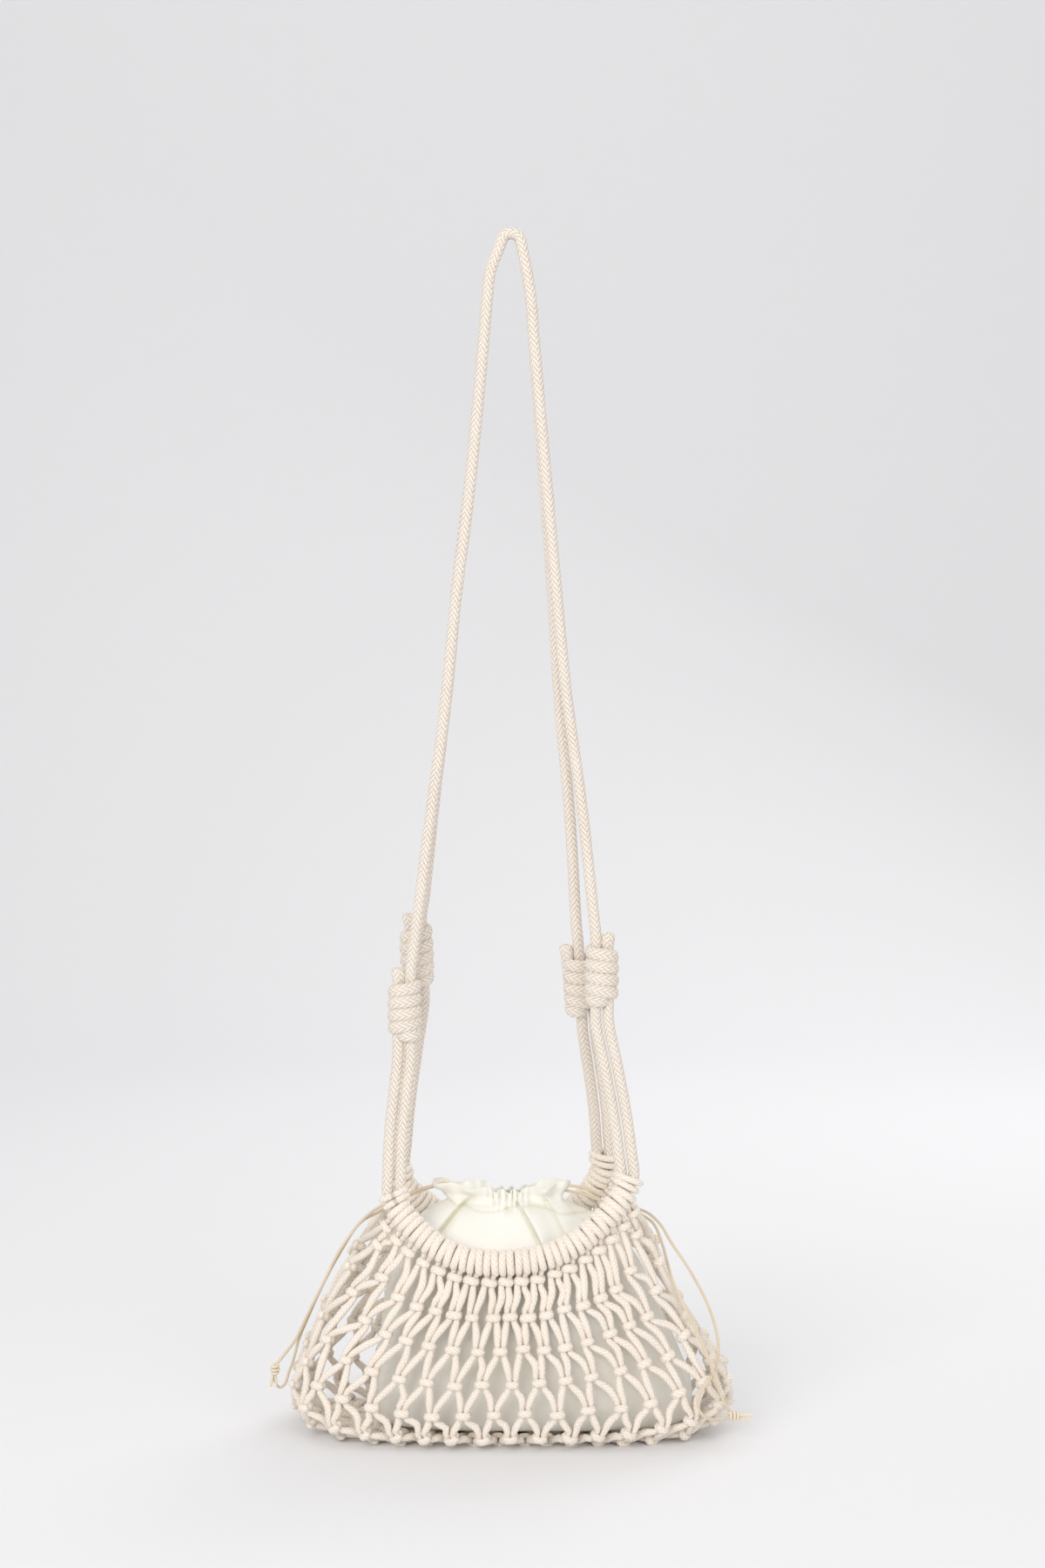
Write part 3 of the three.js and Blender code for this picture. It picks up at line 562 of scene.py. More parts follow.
# Barrel knots, with the same places, leans and stubs as the solids'
KNOTS = [
    dict(name="front_left", face=-1, side=-1, across=0.94, depth=0.33, up=0.851,
         lean=(0, 0.04), stub=1, aside=0.5),
    dict(name="back_left", face=1, side=-1, across=0.832, depth=0.31, up=1.139,
         lean=(-0.03, -0.08), stub=1, aside=0.5),
    dict(name="front_right", face=-1, side=1, across=0.797, depth=0.34, up=1.05,
         lean=(0, 0.04), stub=1, aside=0.5),
    dict(name="back_right", face=1, side=1, across=0.628, depth=0.31, up=0.964,
         lean=(-0.05, -0.08), stub=-1, aside=0.0),
]
for knot in KNOTS:
    knot["bottom"] = vec(
        knot["side"] * knot["across"] * MOUTH_LENGTH / 2,
        knot["face"] * knot["depth"] * MOUTH_END_DEPTH / 2,
        RIM_HEIGHT + RIM_RISE + knot["up"] * LEG_LENGTH,
    )
    knot["axis"] = unit(vec(*knot["lean"], 1))
    level = vec(knot["side"], 0, 0)
    knot["outwards"] = unit(level - knot["axis"] * level.dot(knot["axis"]))
    knot["rope_bottom"] = knot["bottom"] - knot["outwards"] * knot["aside"] * ROPE_PITCH
    knot["rope_top"] = knot["rope_bottom"] + knot["axis"] * KNOT_LENGTH


def knot_at(face, side):
    return next(knot for knot in KNOTS if knot["face"] == face and knot["side"] == side)


def beside(point, towards, *directions):
    along = unit(sum(directions))
    apart = unit(towards - along * towards.dot(along))
    return point + apart * ROPE_PITCH * 1.08


def leg_routes(face, side):
    knot = knot_at(face, side)
    end = rim_point(face, side)
    out = rim_outward(face, side)
    lead = ROPE * 1.4
    turn = ROPE * 0.8
    outside = vec(side, 0, 0)
    inward = unit(-outside + out * outside.dot(out))
    strap_end = end + inward * ROPE_PITCH
    strap_turn = strap_end + out * turn
    start = knot["rope_bottom"] - knot["axis"] * lead
    straight = unit(start - strap_turn)
    strap_leg = [start]
    rim_leg = [
        beside(knot["rope_bottom"] + knot["axis"] * 0.008, outside, knot["axis"]),
        beside(start, outside, knot["axis"], straight),
    ]
    for down, turned, bow in ((0.3, 0.15, 0.008), (0.6, 0.45, 0.014), (0.85, 0.8, 0.008)):
        centre = mix(start, strap_turn, down)
        centre[0] += side * bow * LEG_LENGTH
        strap_leg.append(centre)
        rim_leg.append(beside(centre, mix(outside, -inward, turned), straight))
    strap_leg += [strap_turn, strap_end + out * FIT]
    rim_leg.append(beside(strap_turn, -inward, straight, out))
    return strap_leg, rim_leg


STRAND_ROWS = [
    (0.03, 0.97, 0.975, 1.0), (0.18, 0.83, 0.84, 0.7), (0.36, 0.655, 0.64, 0.38),
    (0.5, 0.55, 0.53, 0.2), (0.65, 0.412, 0.417, 0.1), (0.85, 0.27, 0.27, 0.0),
    (0.913, 0.232, 0.229, 0.0), (0.95, 0.197, 0.178, 0.0),
]


def strap_strand(face, side):
    own = knot_at(face, side)["rope_top"]
    leading = knot_at(-1, side)["rope_top"]
    top = STRAP_HEIGHT + ROPE / 2
    points = []
    for up, left, right, apart in STRAND_ROWS:
        share = left if side < 0 else right
        x = share * leading[0] + apart * (own[0] - leading[0])
        y = mix(own[1], face * ROPE_PITCH / 2, math.sqrt(up))
        points.append(vec(x, y, mix(own[2], top, up)))
    return points


def strap_bend(face):
    centre = vec(0, face * ROPE_PITCH / 2, STRAP_HEIGHT + ROPE / 2 - BEND_RADIUS)
    return [
        centre + vec(math.cos(angle), 0, math.sin(angle)) * BEND_RADIUS
        for angle in np.linspace(math.pi, 0, 7)
    ]


def strap_rope(face):
    def half(side):
        knot = knot_at(face, side)
        strap_leg, _ = leg_routes(face, side)
        ends = knot["rope_bottom"], knot["rope_top"]
        return [*reversed(strap_leg), *ends, *strap_strand(face, side)]
    route = [*half(-1), *strap_bend(face), *reversed(half(1))]
    return make_cords(
        "braided_strap_" + ("front" if face < 0 else "back"),
        [dict(points=grounded(smooth_line(route, 8)))],
        Diameter=ROPE, Sides=20, Step=0.0035, Material=ROPE_FINISH,
    )


def rim_rope(face):
    left = leg_routes(face, -1)[1]
    right = leg_routes(face, 1)[1]
    middle = [rim_point(face, along) for along in np.linspace(-1, 1, 29)]
    route = [*left, *middle, *reversed(right)]
    return make_cords(
        "braided_rim_" + ("front" if face < 0 else "back"),
        [dict(points=grounded(smooth_line(route, 4)))],
        Diameter=ROPE, Sides=20, Step=0.0035, Material=ROPE_FINISH,
    )


def wound_knot(knot):
    """The end of the rim rope, wound round both ropes and pulled flat, with its stub on top."""
    axis, first = knot["axis"], knot["outwards"]
    second = np.cross(axis, first)
    half_width = KNOT_WIDTH / 2 - ROPE * COIL_SQUASH / 2
    half_depth = half_width * 0.86
    hand = -knot["side"]
    low = COIL_MARGIN
    high = KNOT_LENGTH - COIL_MARGIN - COIL_TOP_GAP
    steps = int(KNOT_TURNS * 20)
    points = []
    thickness = []
    for step in range(-4, steps + 5):
        share = min(max(step / steps, 0), 1)
        tuck = max(-step, step - steps, 0) / 4
        angle = hand * (0.35 + KNOT_TURNS * step / steps) * TAU
        swell = (1 + 0.06 * math.sin(share * math.pi)) * (1 - 0.45 * tuck)
        around = first * math.cos(angle) * half_width + second * math.sin(angle) * half_depth
        height = mix(low, high, share) + 0.0005 * math.sin(share * 23)
        points.append(knot["bottom"] + around * swell + axis * height)
        thickness.append(1 - 0.15 * tuck)
    coil = make_cords(
        "wound_knot_" + knot["name"],
        [dict(points=grounded(points), thickness=np.array(thickness))],
        Diameter=ROPE, Width=COIL_SQUASH, Height=1.12, Sides=20, Step=0.0025, Upright=True,
        Material=ROPE_FINISH,
    )
    seat = knot["rope_bottom"] + first * ROPE_PITCH * knot["stub"]
    tip = knot["rope_top"] + first * ROPE_PITCH * knot["stub"] - axis * 0.006
    aside = first * knot["stub"]
    stub = make_cords(
        "stub_" + knot["name"],
        [dict(
            points=grounded([
                seat + axis * 0.014, tip - axis * 0.006, tip + axis * 0.002,
                tip + axis * (STUB_LENGTH - 0.0025) + aside * 0.0008,
                tip + axis * (STUB_LENGTH - 0.0006) + aside * 0.0009,
                tip + axis * STUB_LENGTH + aside * 0.0009,
            ]),
            thickness=np.array([0.9, 1.05, 1.18, 1.16, 0.95, 0.6]),
        )],
        Diameter=ROPE, Sides=20, Step=0.0009, Material=ROPE_FINISH,
    )
    return joined("wound_knot_" + knot["name"], coil, stub)


# Net surface, with the solid's sections. Only its ends lean, so a face's columns stay even
NET_SECTIONS = [
    (0.86, 0.69, 0.885, -0.02, 2.5), (0.72, 0.745, 0.92, -0.021, 2.6),
    (0.54, 0.83, 0.955, -0.024, 2.8), (0.37, 0.92, 0.985, -0.011, 3.0),
    (0.2, 1.0, 1.0, 0.001, 3.2), (0.1, 0.985, 0.99, 0.0, 3.3),
    (0.03, 0.9, 0.94, 0.0, 3.3), (0.0, 0.78, 0.76, 0.0, 3.3),
    (0.0, 0.68, 0.4, 0.0, 3.2),
]
SIDE_SHARE = 1 / 18


def oval_points(half_length, half_depth, square, rounds):
    """Points of a squared oval at shares of the way round from its right end."""
    angle = np.linspace(0, math.pi / 2, 49)
    x = half_length * np.cos(angle).clip(0) ** (2 / square)
    y = half_depth * np.sin(angle).clip(0) ** (2 / square)
    length = np.concatenate([[0], np.cumsum(np.hypot(np.diff(x), np.diff(y)))])
    turn = np.asarray(rounds) % 1
    near = np.where(turn < 0.5, turn, 1 - turn)
    share = np.where(near < 0.25, near, 0.5 - near) * 4 * length[-1]
    return (
        np.interp(share, length, x) * np.where(near < 0.25, 1, -1),
        np.interp(share, length, y) * np.where(turn < 0.5, 1, -1),
    )


def under_rim(face, along):
    tangent, _, up = rim_frame(face, along)
    return rim_point(face, along) - up * (RIM_THICKNESS / 2 + FIT)


def top_edge(turn):
    turn = turn % 1
    face = 1 if turn < 0.5 else -1
    near = turn if turn < 0.5 else 1 - turn
    side = 1 if near < 0.25 else -1
    away = near if near < 0.25 else 0.5 - near
    if away >= SIDE_SHARE:
        share = side * (1 - (away - SIDE_SHARE) / (0.25 - SIDE_SHARE))
        return under_rim(face, rim_along(face, share))
    angle = away / SIDE_SHARE * math.pi / 2
    end = under_rim(face, side)
    middle_x = SIDE_SHIFT + side * SIDE_REACH / 2
    middle_z = SIDE_HEIGHT + RIM_TILT * side / 2
    return vec(
        mix(middle_x, end[0], 1 - math.cos(angle)),
        end[1] * math.sin(angle),
        mix(middle_z, end[2], 1 - math.cos(angle)),
    )


column_lines = {}


def net_point(turn, down):
    key = round(turn % 1, 6)
    if key not in column_lines:
        edge = top_edge(key)
        points = [edge]
        for height, length, depth, shift, square in NET_SECTIONS:
            half = length * NET_LENGTH / 2
            x, y = oval_points(half, depth * NET_DEPTH / 2, square, key)
            x = x + shift * NET_LENGTH * (x / half) ** 2
            points.append(vec(x, y, mix(NET_BASE, edge[2], height)))
        x, y = oval_points(0.3 * NET_LENGTH, 0.0025, 4, key)
        points.append(vec(x, y, NET_BASE))
        line = smooth_line(points, 16)
        far = distances(line)
        column_lines[key] = (line, far / far[-1])
    line, far = column_lines[key]
    return np.array([np.interp(down, far, line[:, n]) for n in range(3)])


# Rows of knots down the net: the share of the way down at the middle of a face and at the sides
NET_ROWS = [
    (0.034, 0.03), (0.172, 0.05), (0.296, 0.18), (0.426, 0.31), (0.542, 0.43),
    (0.642, 0.545), (0.73, 0.655), (0.815, 0.765), (0.905, 0.88),
]
random = np.random.default_rng(7)


def spread_turn(u, row):
    """Upper knots crowd under the rims, and lower ones spread evenly round the net."""
    turn = u / NET_COLUMNS
    near = turn if turn < 0.5 else 1 - turn
    away = near if near < 0.25 else 0.5 - near
    crowded = 0.0 if away < 1e-6 else SIDE_SHARE + (0.25 - SIDE_SHARE) * (away / 0.25)
    share = ease((row - 0.5) / 3.5)
    away = mix(crowded, away, share)
    near = away if near < 0.25 else 0.5 - away
    return near if turn < 0.5 else 1 - near


net_knots = []
for row, (middle, side) in enumerate(NET_ROWS):
    ring = []
    for column in range(NET_COLUMNS):
        u = column + (0.5 if row % 2 == 0 else 0.0)
        from_side = min(u % 18, 18 - u % 18)
        down = mix(side, middle, float(ease(from_side / 2.6)))
        turn = spread_turn(u, row)
        wobble = 0.001 if row > 0 else 0.0004
        step = 0.004
        across = unit(net_point(turn + step, down) - net_point(turn - step, down))
        drop = unit(net_point(turn, min(down + 0.02, 1)) - net_point(turn, max(down - 0.02, 0)))
        normal = unit(np.cross(drop, across))
        centre = net_point(turn, down)
        centre = centre + across * random.uniform(-wobble, wobble) * 1.2
        centre = centre + drop * random.uniform(-wobble, wobble) * 1.3
        centre = centre + normal * random.uniform(-wobble, wobble) * 0.5
        across = unit(across - drop * across.dot(drop))
        tilt = random.uniform(-0.22, 0.22)
        bar = across * math.cos(tilt) + drop * math.sin(tilt)
        ring.append(dict(centre=centre, normal=normal, drop=drop, bar=bar, turn=turn))
    net_knots.append(ring)


def net_lines():
    """Two cords for each column, which meet in every knot and part again below it."""
    lines = []
    rows = len(NET_ROWS)
    for column in range(NET_COLUMNS):
        for hand in (1, -1):
            points = []
            thickness = []
            for row in range(rows):
                # even rows sit half a column on, so a cord swings between the two
                if row % 2 == 0:
                    knot = net_knots[row][column]
                    side = hand
                else:
                    other = (column + (1 if hand > 0 else 0)) % NET_COLUMNS
                    knot = net_knots[row][other]
                    side = -hand
                seat = knot["centre"] + knot["bar"] * side * NET_SEAT
                if row == 0:
                    face = -1 if column >= 18 else 1
                    pair = column % 18
                    turn_at = 2 * pair + (0.5 if side < 0 else 1.5)
                    share = 1 - turn_at / 18 if face > 0 else -1 + turn_at / 18
                    along = rim_along(face, share)
                    tangent, outwards, up = rim_frame(face, along)
                    points.append(rim_point(face, along) - up * 0.0055 - outwards * 0.001 * face)
                    thickness.append(0.9)
                    points.append(mix(points[0], seat, 0.6))
                    thickness.append(0.85)
                else:
                    points.append(seat - knot["drop"] * 0.005 + knot["bar"] * side * 0.0004)
                    thickness.append(0.86)
                points.append(seat)
                thickness.append(0.68)
                points.append(seat + knot["drop"] * 0.0042 + knot["bar"] * side * 0.0006)
                thickness.append(0.88)
                if row < rows - 1:
                    if row % 2 == 0:
                        other = (column + (1 if hand > 0 else 0)) % NET_COLUMNS
                        below = net_knots[row + 1][other]
                        to = -hand
                    else:
                        below = net_knots[row + 1][column]
                        to = hand
                    target = below["centre"] + below["bar"] * to * NET_SEAT
                    middle = mix(seat, target, 0.46)
                    # the cord that leaves to the right bows out, the other runs straight
                    sideways = (target - seat).dot(knot["bar"])
                    rightwards = sideways * (1 if knot["normal"][1] < 0 else -1)
                    swing = min(abs(rightwards) / 0.009, 1.0)
                    bow = (0.0026 if rightwards > 0 else 0.0006) * swing
                    bow = bow * random.uniform(0.6, 1.4)
                    away = knot["bar"] * (1 if sideways > 0 else -1)
                    middle = middle + away * bow + knot["normal"] * random.uniform(-0.0004, 0.001)
                    points.append(middle)
                    thickness.append(1.12)
            last = net_knots[-1]
            end = net_point(last[column]["turn"], 1.0)
            points.append(mix(points[-1], end, 0.5))
            thickness.append(1.0)
            points.append(end)
            thickness.append(0.7)
            points = np.array(points)
            points[:, 2] = np.maximum(points[:, 2], NET_BASE)
            lines.append(dict(points=grounded(points), thickness=np.array(thickness)))
    return lines


def knot_shape():
    """One bar of the net's knots: a flattened loop of cord pulled tight round two cords."""
    points = []
    for step in range(14):
        angle = step / 14 * TAU
        x = 0.0037 * math.copysign(abs(math.cos(angle)) ** 0.6, math.cos(angle))
        y = 0.0032 * math.copysign(abs(math.sin(angle)) ** 0.8, math.sin(angle))
        z = 0.0009 * math.cos(angle) * (1 if y > 0 else 0.25)
        points.append((x, y, z))
    return make_cords("knot_bar", [dict(points=np.array(points), closed=True)],
                      Diameter=NET_CORD, Width=0.84, Height=1.18, Sides=8, Step=0.0018,
                      Upright=True, Material=CORD_FINISH)


def net_knot_bars():
    shape = knot_shape()
    places = []
    for ring in net_knots:
        for knot in ring:
            up = -knot["drop"]
            bar = unit(knot["bar"] - up * knot["bar"].dot(up))
            up = unit(np.cross(bar, np.cross(up, bar)))
            size = random.uniform(0.94, 1.06)
            places.append(dict(
                point=grounded(knot["centre"]), axes=(bar, np.cross(up, bar), up),
                size=(size * random.uniform(0.95, 1.07), size, size),
            ))
    piece = make_scatter("net_knot_bars", shape, places, CORD_FINISH)
    bpy.data.objects.remove(shape)
    return piece


def seam_line():
    points = [(x, 0.0006 * math.sin(x * 900), NET_BASE) for x in np.linspace(-0.099, 0.099, 34)]
    return dict(points=grounded(points), thickness=1.15)


def rim_turns(face):
    points = []
    for step in range(16):
        angle = step / 16 * TAU
        low = 1.12 if math.sin(angle) < 0 else 1.0
        points.append((0, 0.0067 * math.cos(angle), 0.0069 * math.sin(angle) * low))
    ring = make_cords("rim_turn", [dict(points=np.array(points), closed=True)],
                      Diameter=NET_CORD, Width=0.9, Height=1.12, Sides=10, Step=0.0022,
                      Material=CORD_FINISH)
    places = []
    for turn in range(RIM_TURNS):
        along = rim_along(face, -1 + (turn + 0.5) * 2 / RIM_TURNS)
        pitch_here = RIM_FAR[face][-1] / RIM_TURNS
        pair = -1 if turn % 2 == 0 else 1
        tangent, outwards, up = rim_frame(face, along)
        yaw = random.uniform(-0.05, 0.05)
        pitch = random.uniform(-0.05, 0.05) + pair * 0.04
        x_axis = unit(tangent + outwards * yaw + up * pitch)
        z_axis = unit(up - x_axis * up.dot(x_axis))
        size = random.uniform(0.97, 1.04)
        places.append(dict(
            point=grounded(rim_point(face, along) - up * 0.0004 - tangent * pair * 0.0001),
            axes=(x_axis, np.cross(z_axis, x_axis), z_axis),
            size=(pitch_here * 1.03 / (NET_CORD * 0.9), size, size),
        ))
    for side in (-1, 1):
        out = rim_outward(face, side)
        outside = vec(side, 0, 0)
        inward = unit(-outside + out * outside.dot(out))
        for step in range(END_TURNS):
            rise = (step + 0.6) / END_TURNS
            along_leg = unit(out + vec(0, 0, 1) * rise * 0.9)
            centre = rim_point(face, side) + out * (step + 0.55) * NET_CORD * 0.98
            centre = centre + inward * ROPE_PITCH * mix(0.2, 0.45, rise)
            z_axis = unit(inward - along_leg * inward.dot(along_leg))
            places.append(dict(
                point=grounded(centre), axes=(along_leg, np.cross(z_axis, along_leg), z_axis),
                size=(1.05, random.uniform(0.96, 1.0), mix(1.08, 1.22, rise)),
            ))
    piece = make_scatter("rim_turns_" + ("front" if face < 0 else "back"), ring, places,
                         CORD_FINISH)
    bpy.data.objects.remove(ring)
    return piece


# Pouch: height, length, depth, shift, square and lift of its sections, as shares of its sizes
POUCH_SECTIONS = np.array([
    (1.022, 0.365, 0.13, -0.028, 2.4, 0.016), (0.998, 0.37, 0.12, -0.028, 2.3, 0.014),
    (0.968, 0.355, 0.12, -0.024, 2.2, 0.01), (0.935, 0.42, 0.27, -0.018, 2.2, 0.004),
    (0.9, 0.535, 0.46, -0.012, 2.2, 0.0), (0.82, 0.67, 0.73, 0.004, 2.4, 0.0),
    (0.68, 0.78, 0.93, 0.018, 2.7, 0.0), (0.5, 0.865, 0.985, 0.03, 3.0, 0.0),
    (0.32, 0.945, 1.0, 0.048, 3.2, 0.0), (0.16, 1.0, 0.975, 0.064, 3.2, 0.0),
    (0.07, 0.975, 0.91, 0.066, 3.2, 0.0), (0.0475, 0.86, 0.76, 0.066, 3.0, 0.0),
])
POUCH_NECK = 0.968
POUCH_AROUND = 384
# Folds that lie over the cloth beside them: the face, the edge's two ends as across and height
# in millimetres, how high and how wide the fold is, and the side of the edge that it rises on
FOLDS = [
    (-1, (-26, 180), (-62, 146), 8.0, 15.0, 1), (-1, (-42, 186), (-74, 158), 4.0, 12.0, 1),
    (-1, (4, 174), (25, 142), 8.0, 11.0, -1), (-1, (23, 178), (48, 148), 5.0, 12.0, -1),
    (-1, (38, 180), (66, 156), 3.5, 10.0, -1), (-1, (-64, 152), (-92, 96), 2.0, 16.0, 1),
    (-1, (58, 150), (96, 96), 2.0, 16.0, -1), (-1, (30, 140), (44, 90), 1.2, 12.0, -1),
    (1, (-24, 178), (-54, 142), 7.0, 13.0, -1), (1, (-8, 176), (-18, 138), 4.5, 9.0, 1),
    (1, (8, 176), (14, 140), 5.0, 9.0, -1), (1, (20, 178), (48, 144), 6.5, 13.0, 1),
    (1, (-40, 182), (-74, 152), 4.0, 11.0, -1), (1, (34, 180), (74, 150), 4.0, 11.0, 1),
]
DIMPLES = [(-1, -2, 169, 3.6, 3.2, 2.4), (-1, -12, 173, 1.6, 3.0, 1.6), (1, 4, 170, 3.2, 4.0, 2.4)]


def fold_push(x, y, z):
    """How far the folds stand out from the face of the pouch, their edges draw it in, and the
    painted shade in them.
    """
    push = np.zeros_like(x)
    shade = np.zeros_like(x)
    for face, start, end, high, wide, side in FOLDS:
        ax, az = start[0] / 1000, start[1] / 1000
        bx, bz = end[0] / 1000, end[1] / 1000
        length = math.hypot(bx - ax, bz - az)
        ux, uz = (bx - ax) / length, (bz - az) / length
        along = ((x - ax) * ux + (z - az) * uz) / length
        curve = 0.0022 * np.sin(along.clip(0, 1) * 2.6 + ax * 90)
        across = ((x - ax) * uz - (z - az) * ux + curve) * 1000 / wide * side
        reach = ease(along / 0.2 + 0.9) * ease((1.25 - along) / 0.6) * (y * face > 0)
        rise = ease(across / 0.16 + 0.5) * np.exp(-np.clip(across - 0.1, 0, None) ** 2 * 2.6)
        draw = -0.35 * np.exp(-((across + 0.1) / 0.13) ** 2)
        push += (rise + draw) * high / 1000 * reach
        # Painted shade: darkest along the edge where a fold draws in, fainter on the flank beyond
        # its ridge.
        deepest = 0.3 + 0.7 * np.exp(-((along - 0.55) / 0.4) ** 2)
        shade += 0.9 * np.exp(-((across + 0.02) / 0.085) ** 2) * reach * deepest * min(high / 8, 1)
        shade += 0.16 * np.exp(-((across - 0.95) / 0.3) ** 2) * reach * min(high / 8, 1)
    for face, across, height, deep, wide, tall in DIMPLES:
        away = ((x * 1000 - across) / wide) ** 2 + ((z * 1000 - height) / tall) ** 2
        push -= deep / 1000 * np.exp(-away) * (y * face > 0)
        # Painted shade in the dimples.
        shade += 0.5 * np.exp(-away * 1.6) * (y * face > 0)
    return push, shade


def pouch_mesh():
    around = POUCH_AROUND
    rows = smooth_line(POUCH_SECTIONS, 10)
    turns = np.arange(around) / around
    rings = []
    crease_shade_rows = []
    for height, length, depth, shift, square, lift in rows:
        half = length * POUCH_LENGTH / 2
        x, y = oval_points(half, depth * POUCH_DEPTH / 2, square, turns)
        step_x = np.roll(x, -1) - np.roll(x, 1)
        step_y = np.roll(y, -1) - np.roll(y, 1)
        size = np.hypot(step_x, step_y)
        out_x, out_y = step_y / size, -step_x / size
        end = x / half
        z = (height + lift * end * end) * POUCH_HEIGHT
        here = x + shift * POUCH_LENGTH
        middle = np.exp(-((here + 0.002) / 0.0155) ** 4)
        near_neck = math.exp(-((height - 0.985) / 0.05) ** 2)
        above = ease((height - POUCH_NECK) / 0.05)
        face = np.sign(y)
        wave = TAU * here / 0.0045 + face * 0.8 + 0.9 * np.sin(here * 310 + face)
        ruffles = (np.abs(np.sin(wave / 2)) ** 0.7 - 0.6) * middle * near_neck * 0.005
        pinch = -0.002 * middle * above
        ears = (1 - middle) * above * (0.0055 + 0.003 * np.sin(TAU * here / 0.019 + 0.5 * face))
        ears = ears - 0.0035 * (1 - middle) * math.exp(-((height - 0.952) / 0.011) ** 2)
        loose = np.sin(TAU * here / 0.016 + 1.4 * face) * (1 - middle) * near_neck * 0.0018
        z = z - 0.0035 * middle * above + middle * above * 0.0018 * np.sin(wave / 2 + 0.6)
        z = z + (1 - middle) * above * 0.0016 * np.sin(TAU * here / 0.027 + 0.9 * face)
        seam_height = 0.938 + 0.013 * np.sin((here + 0.004) * 95) - 0.2 * here * (1 - middle)
        seam = -0.0009 * np.exp(-((height - seam_height) / 0.005) ** 2)
        seam = seam + 0.0008 * ease((height - seam_height) / 0.008 + 0.5)
        soft = 0.0012 * np.sin(5 * TAU * turns + 4 * height) * ease((0.93 - height) / 0.1)
        push = ruffles + pinch + ears + loose + seam + soft * ease((height - 0.05) / 0.2)
        folds, shade = fold_push(here, y, z)
        below = float(ease((0.985 - height) / 0.04))
        push = push + folds * below
        # Painted shade: the folds' shade, faded out toward the top, darker between the ruffles at
        # the middle of the neck, and a line along the seam.
        shade = shade * below + 0.5 * middle * near_neck * (1 - np.abs(np.sin(wave / 2)) ** 0.5)
        shade = shade + 0.45 * np.exp(-((height - seam_height) / 0.004) ** 2)
        crease_shade_rows.append(shade)
        z = np.maximum(z, POUCH_GROUND)
        rings.append(np.stack([
            x + shift * POUCH_LENGTH + out_x * push, y + out_y * push, z,
        ], axis=1))
    last = rings[-1]
    middle = last.mean(axis=0)
    for share in (0.25, 0.5, 0.75):
        rings.append(mix(last, middle, share))
    points = np.vstack(rings + [middle[None, :]])
    crease_shade_values = np.zeros(len(points))
    crease_shade_values[:len(crease_shade_rows) * around] = np.concatenate(crease_shade_rows)
    faces = []
    for ring in range(len(rings) - 1):
        for i in range(around):
            j = (i + 1) % around
            a, b = ring * around + i, ring * around + j
            faces.append((a, a + around, b + around, b))
    first = (len(rings) - 1) * around
    for i in range(around):
        faces.append((first + i, len(points) - 1, first + (i + 1) % around))
    mesh = bpy.data.meshes.new("gathered_pouch")
    mesh.from_pydata(grounded(points).tolist(), [], faces)
    mesh.attributes.new("crease", "FLOAT", "POINT").data.foreach_set("value", crease_shade_values.clip(0, 1))
    mesh.materials.append(CLOTH_FINISH)
    for polygon in mesh.polygons:
        polygon.use_smooth = True
    piece = bpy.data.objects.new("gathered_pouch", mesh)
    SCENE.collection.objects.link(piece)
    wall = piece.modifiers.new("wall", "SOLIDIFY")
    wall.thickness = POUCH_WALL
    wall.offset = -1
    return piece


# Drawstring knots: the two strands wound together, with two short tips
def string_knot(name, middle, towards, diameter=0.0074):
    axis = unit(vec(*towards))
    helper = vec(0, 1, 0) if abs(axis[1]) < 0.9 else vec(1, 0, 0)
    first = unit(np.cross(axis, helper))
    second = np.cross(axis, first)
    centre = vec(*middle) / 1000
    lines = []
    wound = []
    radius = diameter / 2 - STRING / 2
    for step in range(31):
        share = step / 30
        angle = 2.4 * TAU * share
        bulge = radius * (0.86 + 0.22 * math.sin(share * math.pi))
        wound.append(centre + axis * mix(-0.0031, 0.0031, share)
                     + (first * math.cos(angle) + second * math.sin(angle)) * bulge)
    lines.append(dict(points=grounded(wound)))
    for side in (-1, 1):
        across = first * side * STRING * 0.55
        tip = [
            centre - axis * 0.005 + across, centre + across * 0.8, centre + axis * 0.005 + across,
            centre + axis * 0.0135 + across * (2.2 if side > 0 else 1.6),
        ]
        lines.append(dict(points=grounded(tip)))
    return make_cords(name, lines, Diameter=STRING, Sides=10, Step=0.0009,
                      Material=STRING_FINISH)


# Make every piece
made = {}
for face, label in ((-1, "front"), (1, "back")):
    made["strap_rope_" + label] = strap_rope(face)
    made["rim_rope_" + label] = rim_rope(face)
    made["rim_wraps_" + label] = rim_turns(face)
for knot in KNOTS:
    made["barrel_knot_" + knot["name"]] = wound_knot(knot)
net_cords = make_cords("net_cords", [*net_lines(), seam_line()], Diameter=NET_CORD, Sides=8,
                       Step=0.0042, Material=CORD_FINISH)
net_bars = net_knot_bars()
pouch = pouch_mesh()
left_knot = string_knot("string_knot_left", (-179.4, -9, 45), (-0.12, -0.02, -1))
right_knot = string_knot("string_knot_right", (166.2, -50, 21), (1, 0.1, -0.18))

def stand_for(piece, node):
    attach(piece, "root")
    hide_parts(node)


for node, piece in made.items():
    stand_for(piece, node)
stand_for(net_cords, "net")
stand_for(net_bars, "net")
stand_for(pouch, "pouch")
for name, piece in strings.items():
    piece.data.materials.append(STRING_FINISH)
    stand_for(piece, "drawstring_" + name)
stand_for(left_knot, "drawstring_knot_left")
stand_for(right_knot, "drawstring_knot_right")
for name, piece in strings.items():
    line = string_lines[name]


# Floor, backdrop and soft light
def plain_finish(name, colour, roughness):
    material, _, shader = new_material(name, roughness)
    shader.inputs["Base Color"].default_value = colour
    return material


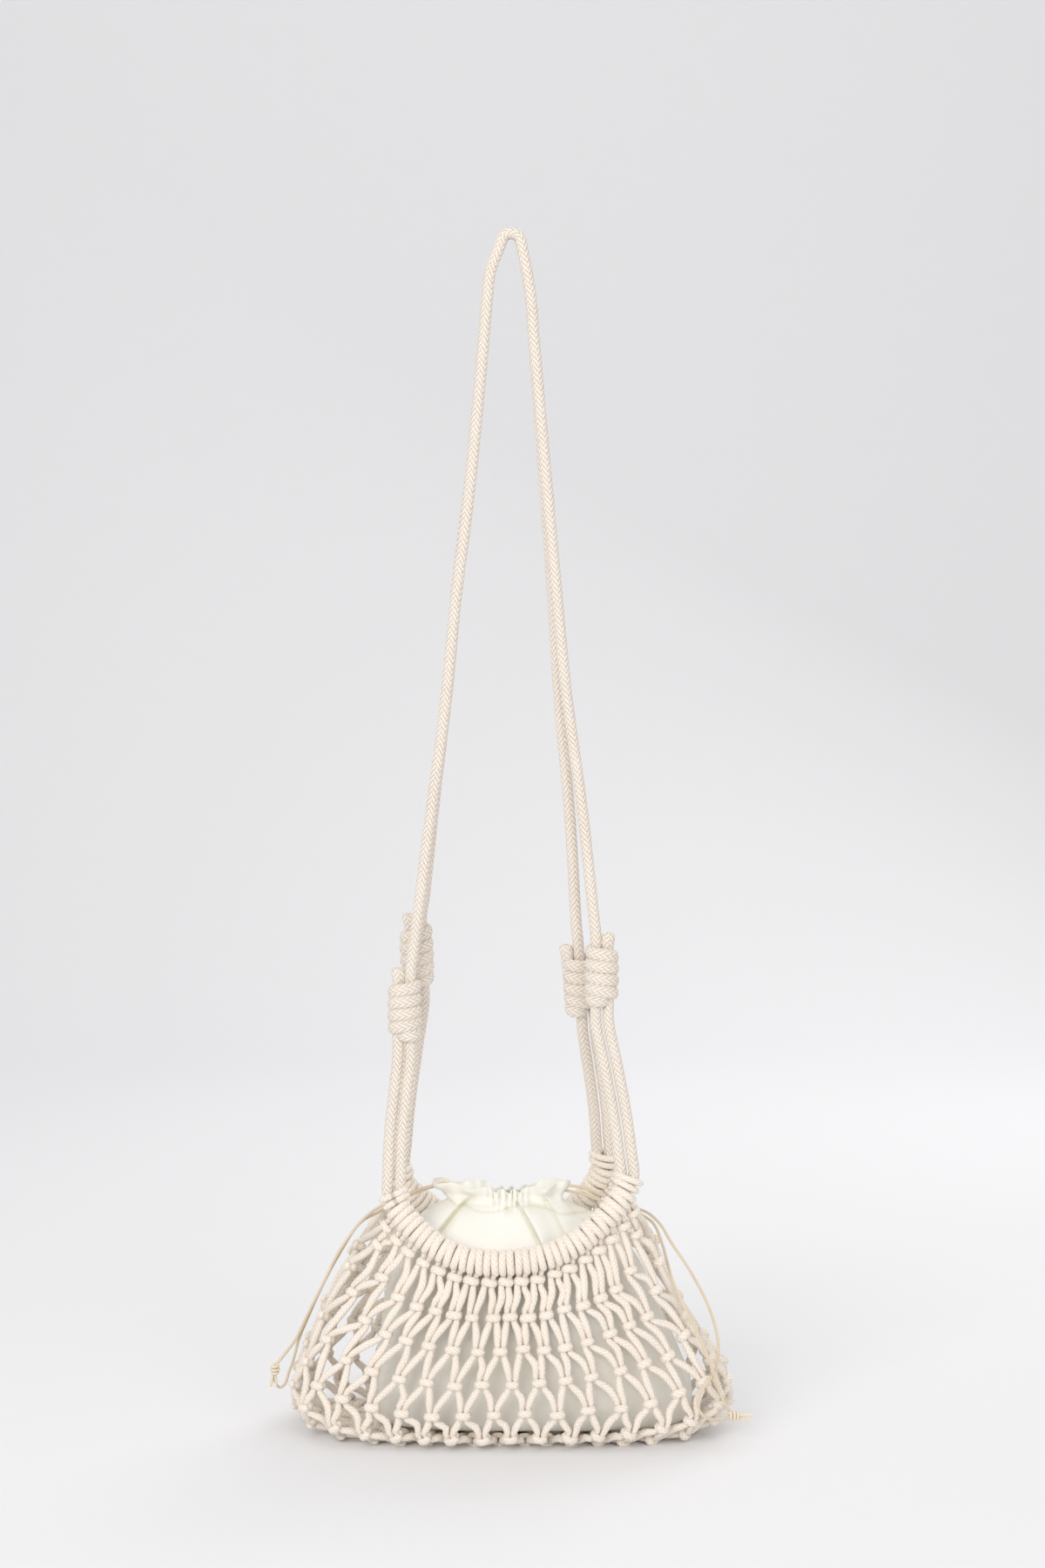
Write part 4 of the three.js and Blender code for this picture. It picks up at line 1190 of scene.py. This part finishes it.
def backdrop():
    points = []
    faces = []
    profile = [(-4.0, 0.0), (1.6, 0.0)]
    for step in range(1, 13):
        angle = step / 12 * math.pi / 2
        profile.append((1.6 + 0.9 * math.sin(angle), 0.9 - 0.9 * math.cos(angle)))
    profile.append((2.5, 4.5))
    for y, z in profile:
        points += [(-4.0, y, z + GROUND), (4.0, y, z + GROUND)]
    for i in range(len(profile) - 1):
        faces.append((2 * i, 2 * i + 1, 2 * i + 3, 2 * i + 2))
    mesh = bpy.data.meshes.new("floor")
    mesh.from_pydata(points, [], faces)
    for polygon in mesh.polygons:
        polygon.use_smooth = True
    mesh.materials.append(plain_finish("pale_paper", linear(237, 237, 239), 0.9))
    piece = bpy.data.objects.new("floor", mesh)
    SCENE.collection.objects.link(piece)


def area_light(name, place, aim, size, power, colour):
    light = bpy.data.lights.new(name, "AREA")
    light.shape = "RECTANGLE"
    light.size, light.size_y = size
    light.energy = power
    light.color = colour
    piece = bpy.data.objects.new(name, light)
    direction = unit(np.array(aim) - np.array(place))
    x_axis = unit(np.cross(direction, vec(0, 0, 1)))
    y_axis = np.cross(x_axis, direction)
    piece.matrix_world = Matrix(np.array([x_axis, y_axis, -direction]).T.tolist()).to_4x4()
    piece.location = place
    SCENE.collection.objects.link(piece)


backdrop()
area_light("key", (-1.15, -2.3, 0.6), (0, 0, -0.72), (1.6, 1.6), 33, (1.0, 0.98, 0.955))
area_light("fill", (1.2, -2.3, -0.1), (0, 0, -0.72), (1.6, 1.6), 12, (1.0, 0.985, 0.965))
area_light("over", (0, 0.6, 1.9), (0, 0.3, -0.8), (3.0, 3.0), 17, (1.0, 1.0, 1.0))
area_light("behind", (0.9, 1.4, 0.5), (0, 0, -0.7), (1.2, 1.2), 9, (1.0, 0.99, 0.98))
world = bpy.data.worlds.new("soft_room")
world.use_nodes = True
world.node_tree.nodes["Background"].inputs[0].default_value = (0.97, 0.965, 0.96, 1)
world.node_tree.nodes["Background"].inputs[1].default_value = 0.57
SCENE.world = world
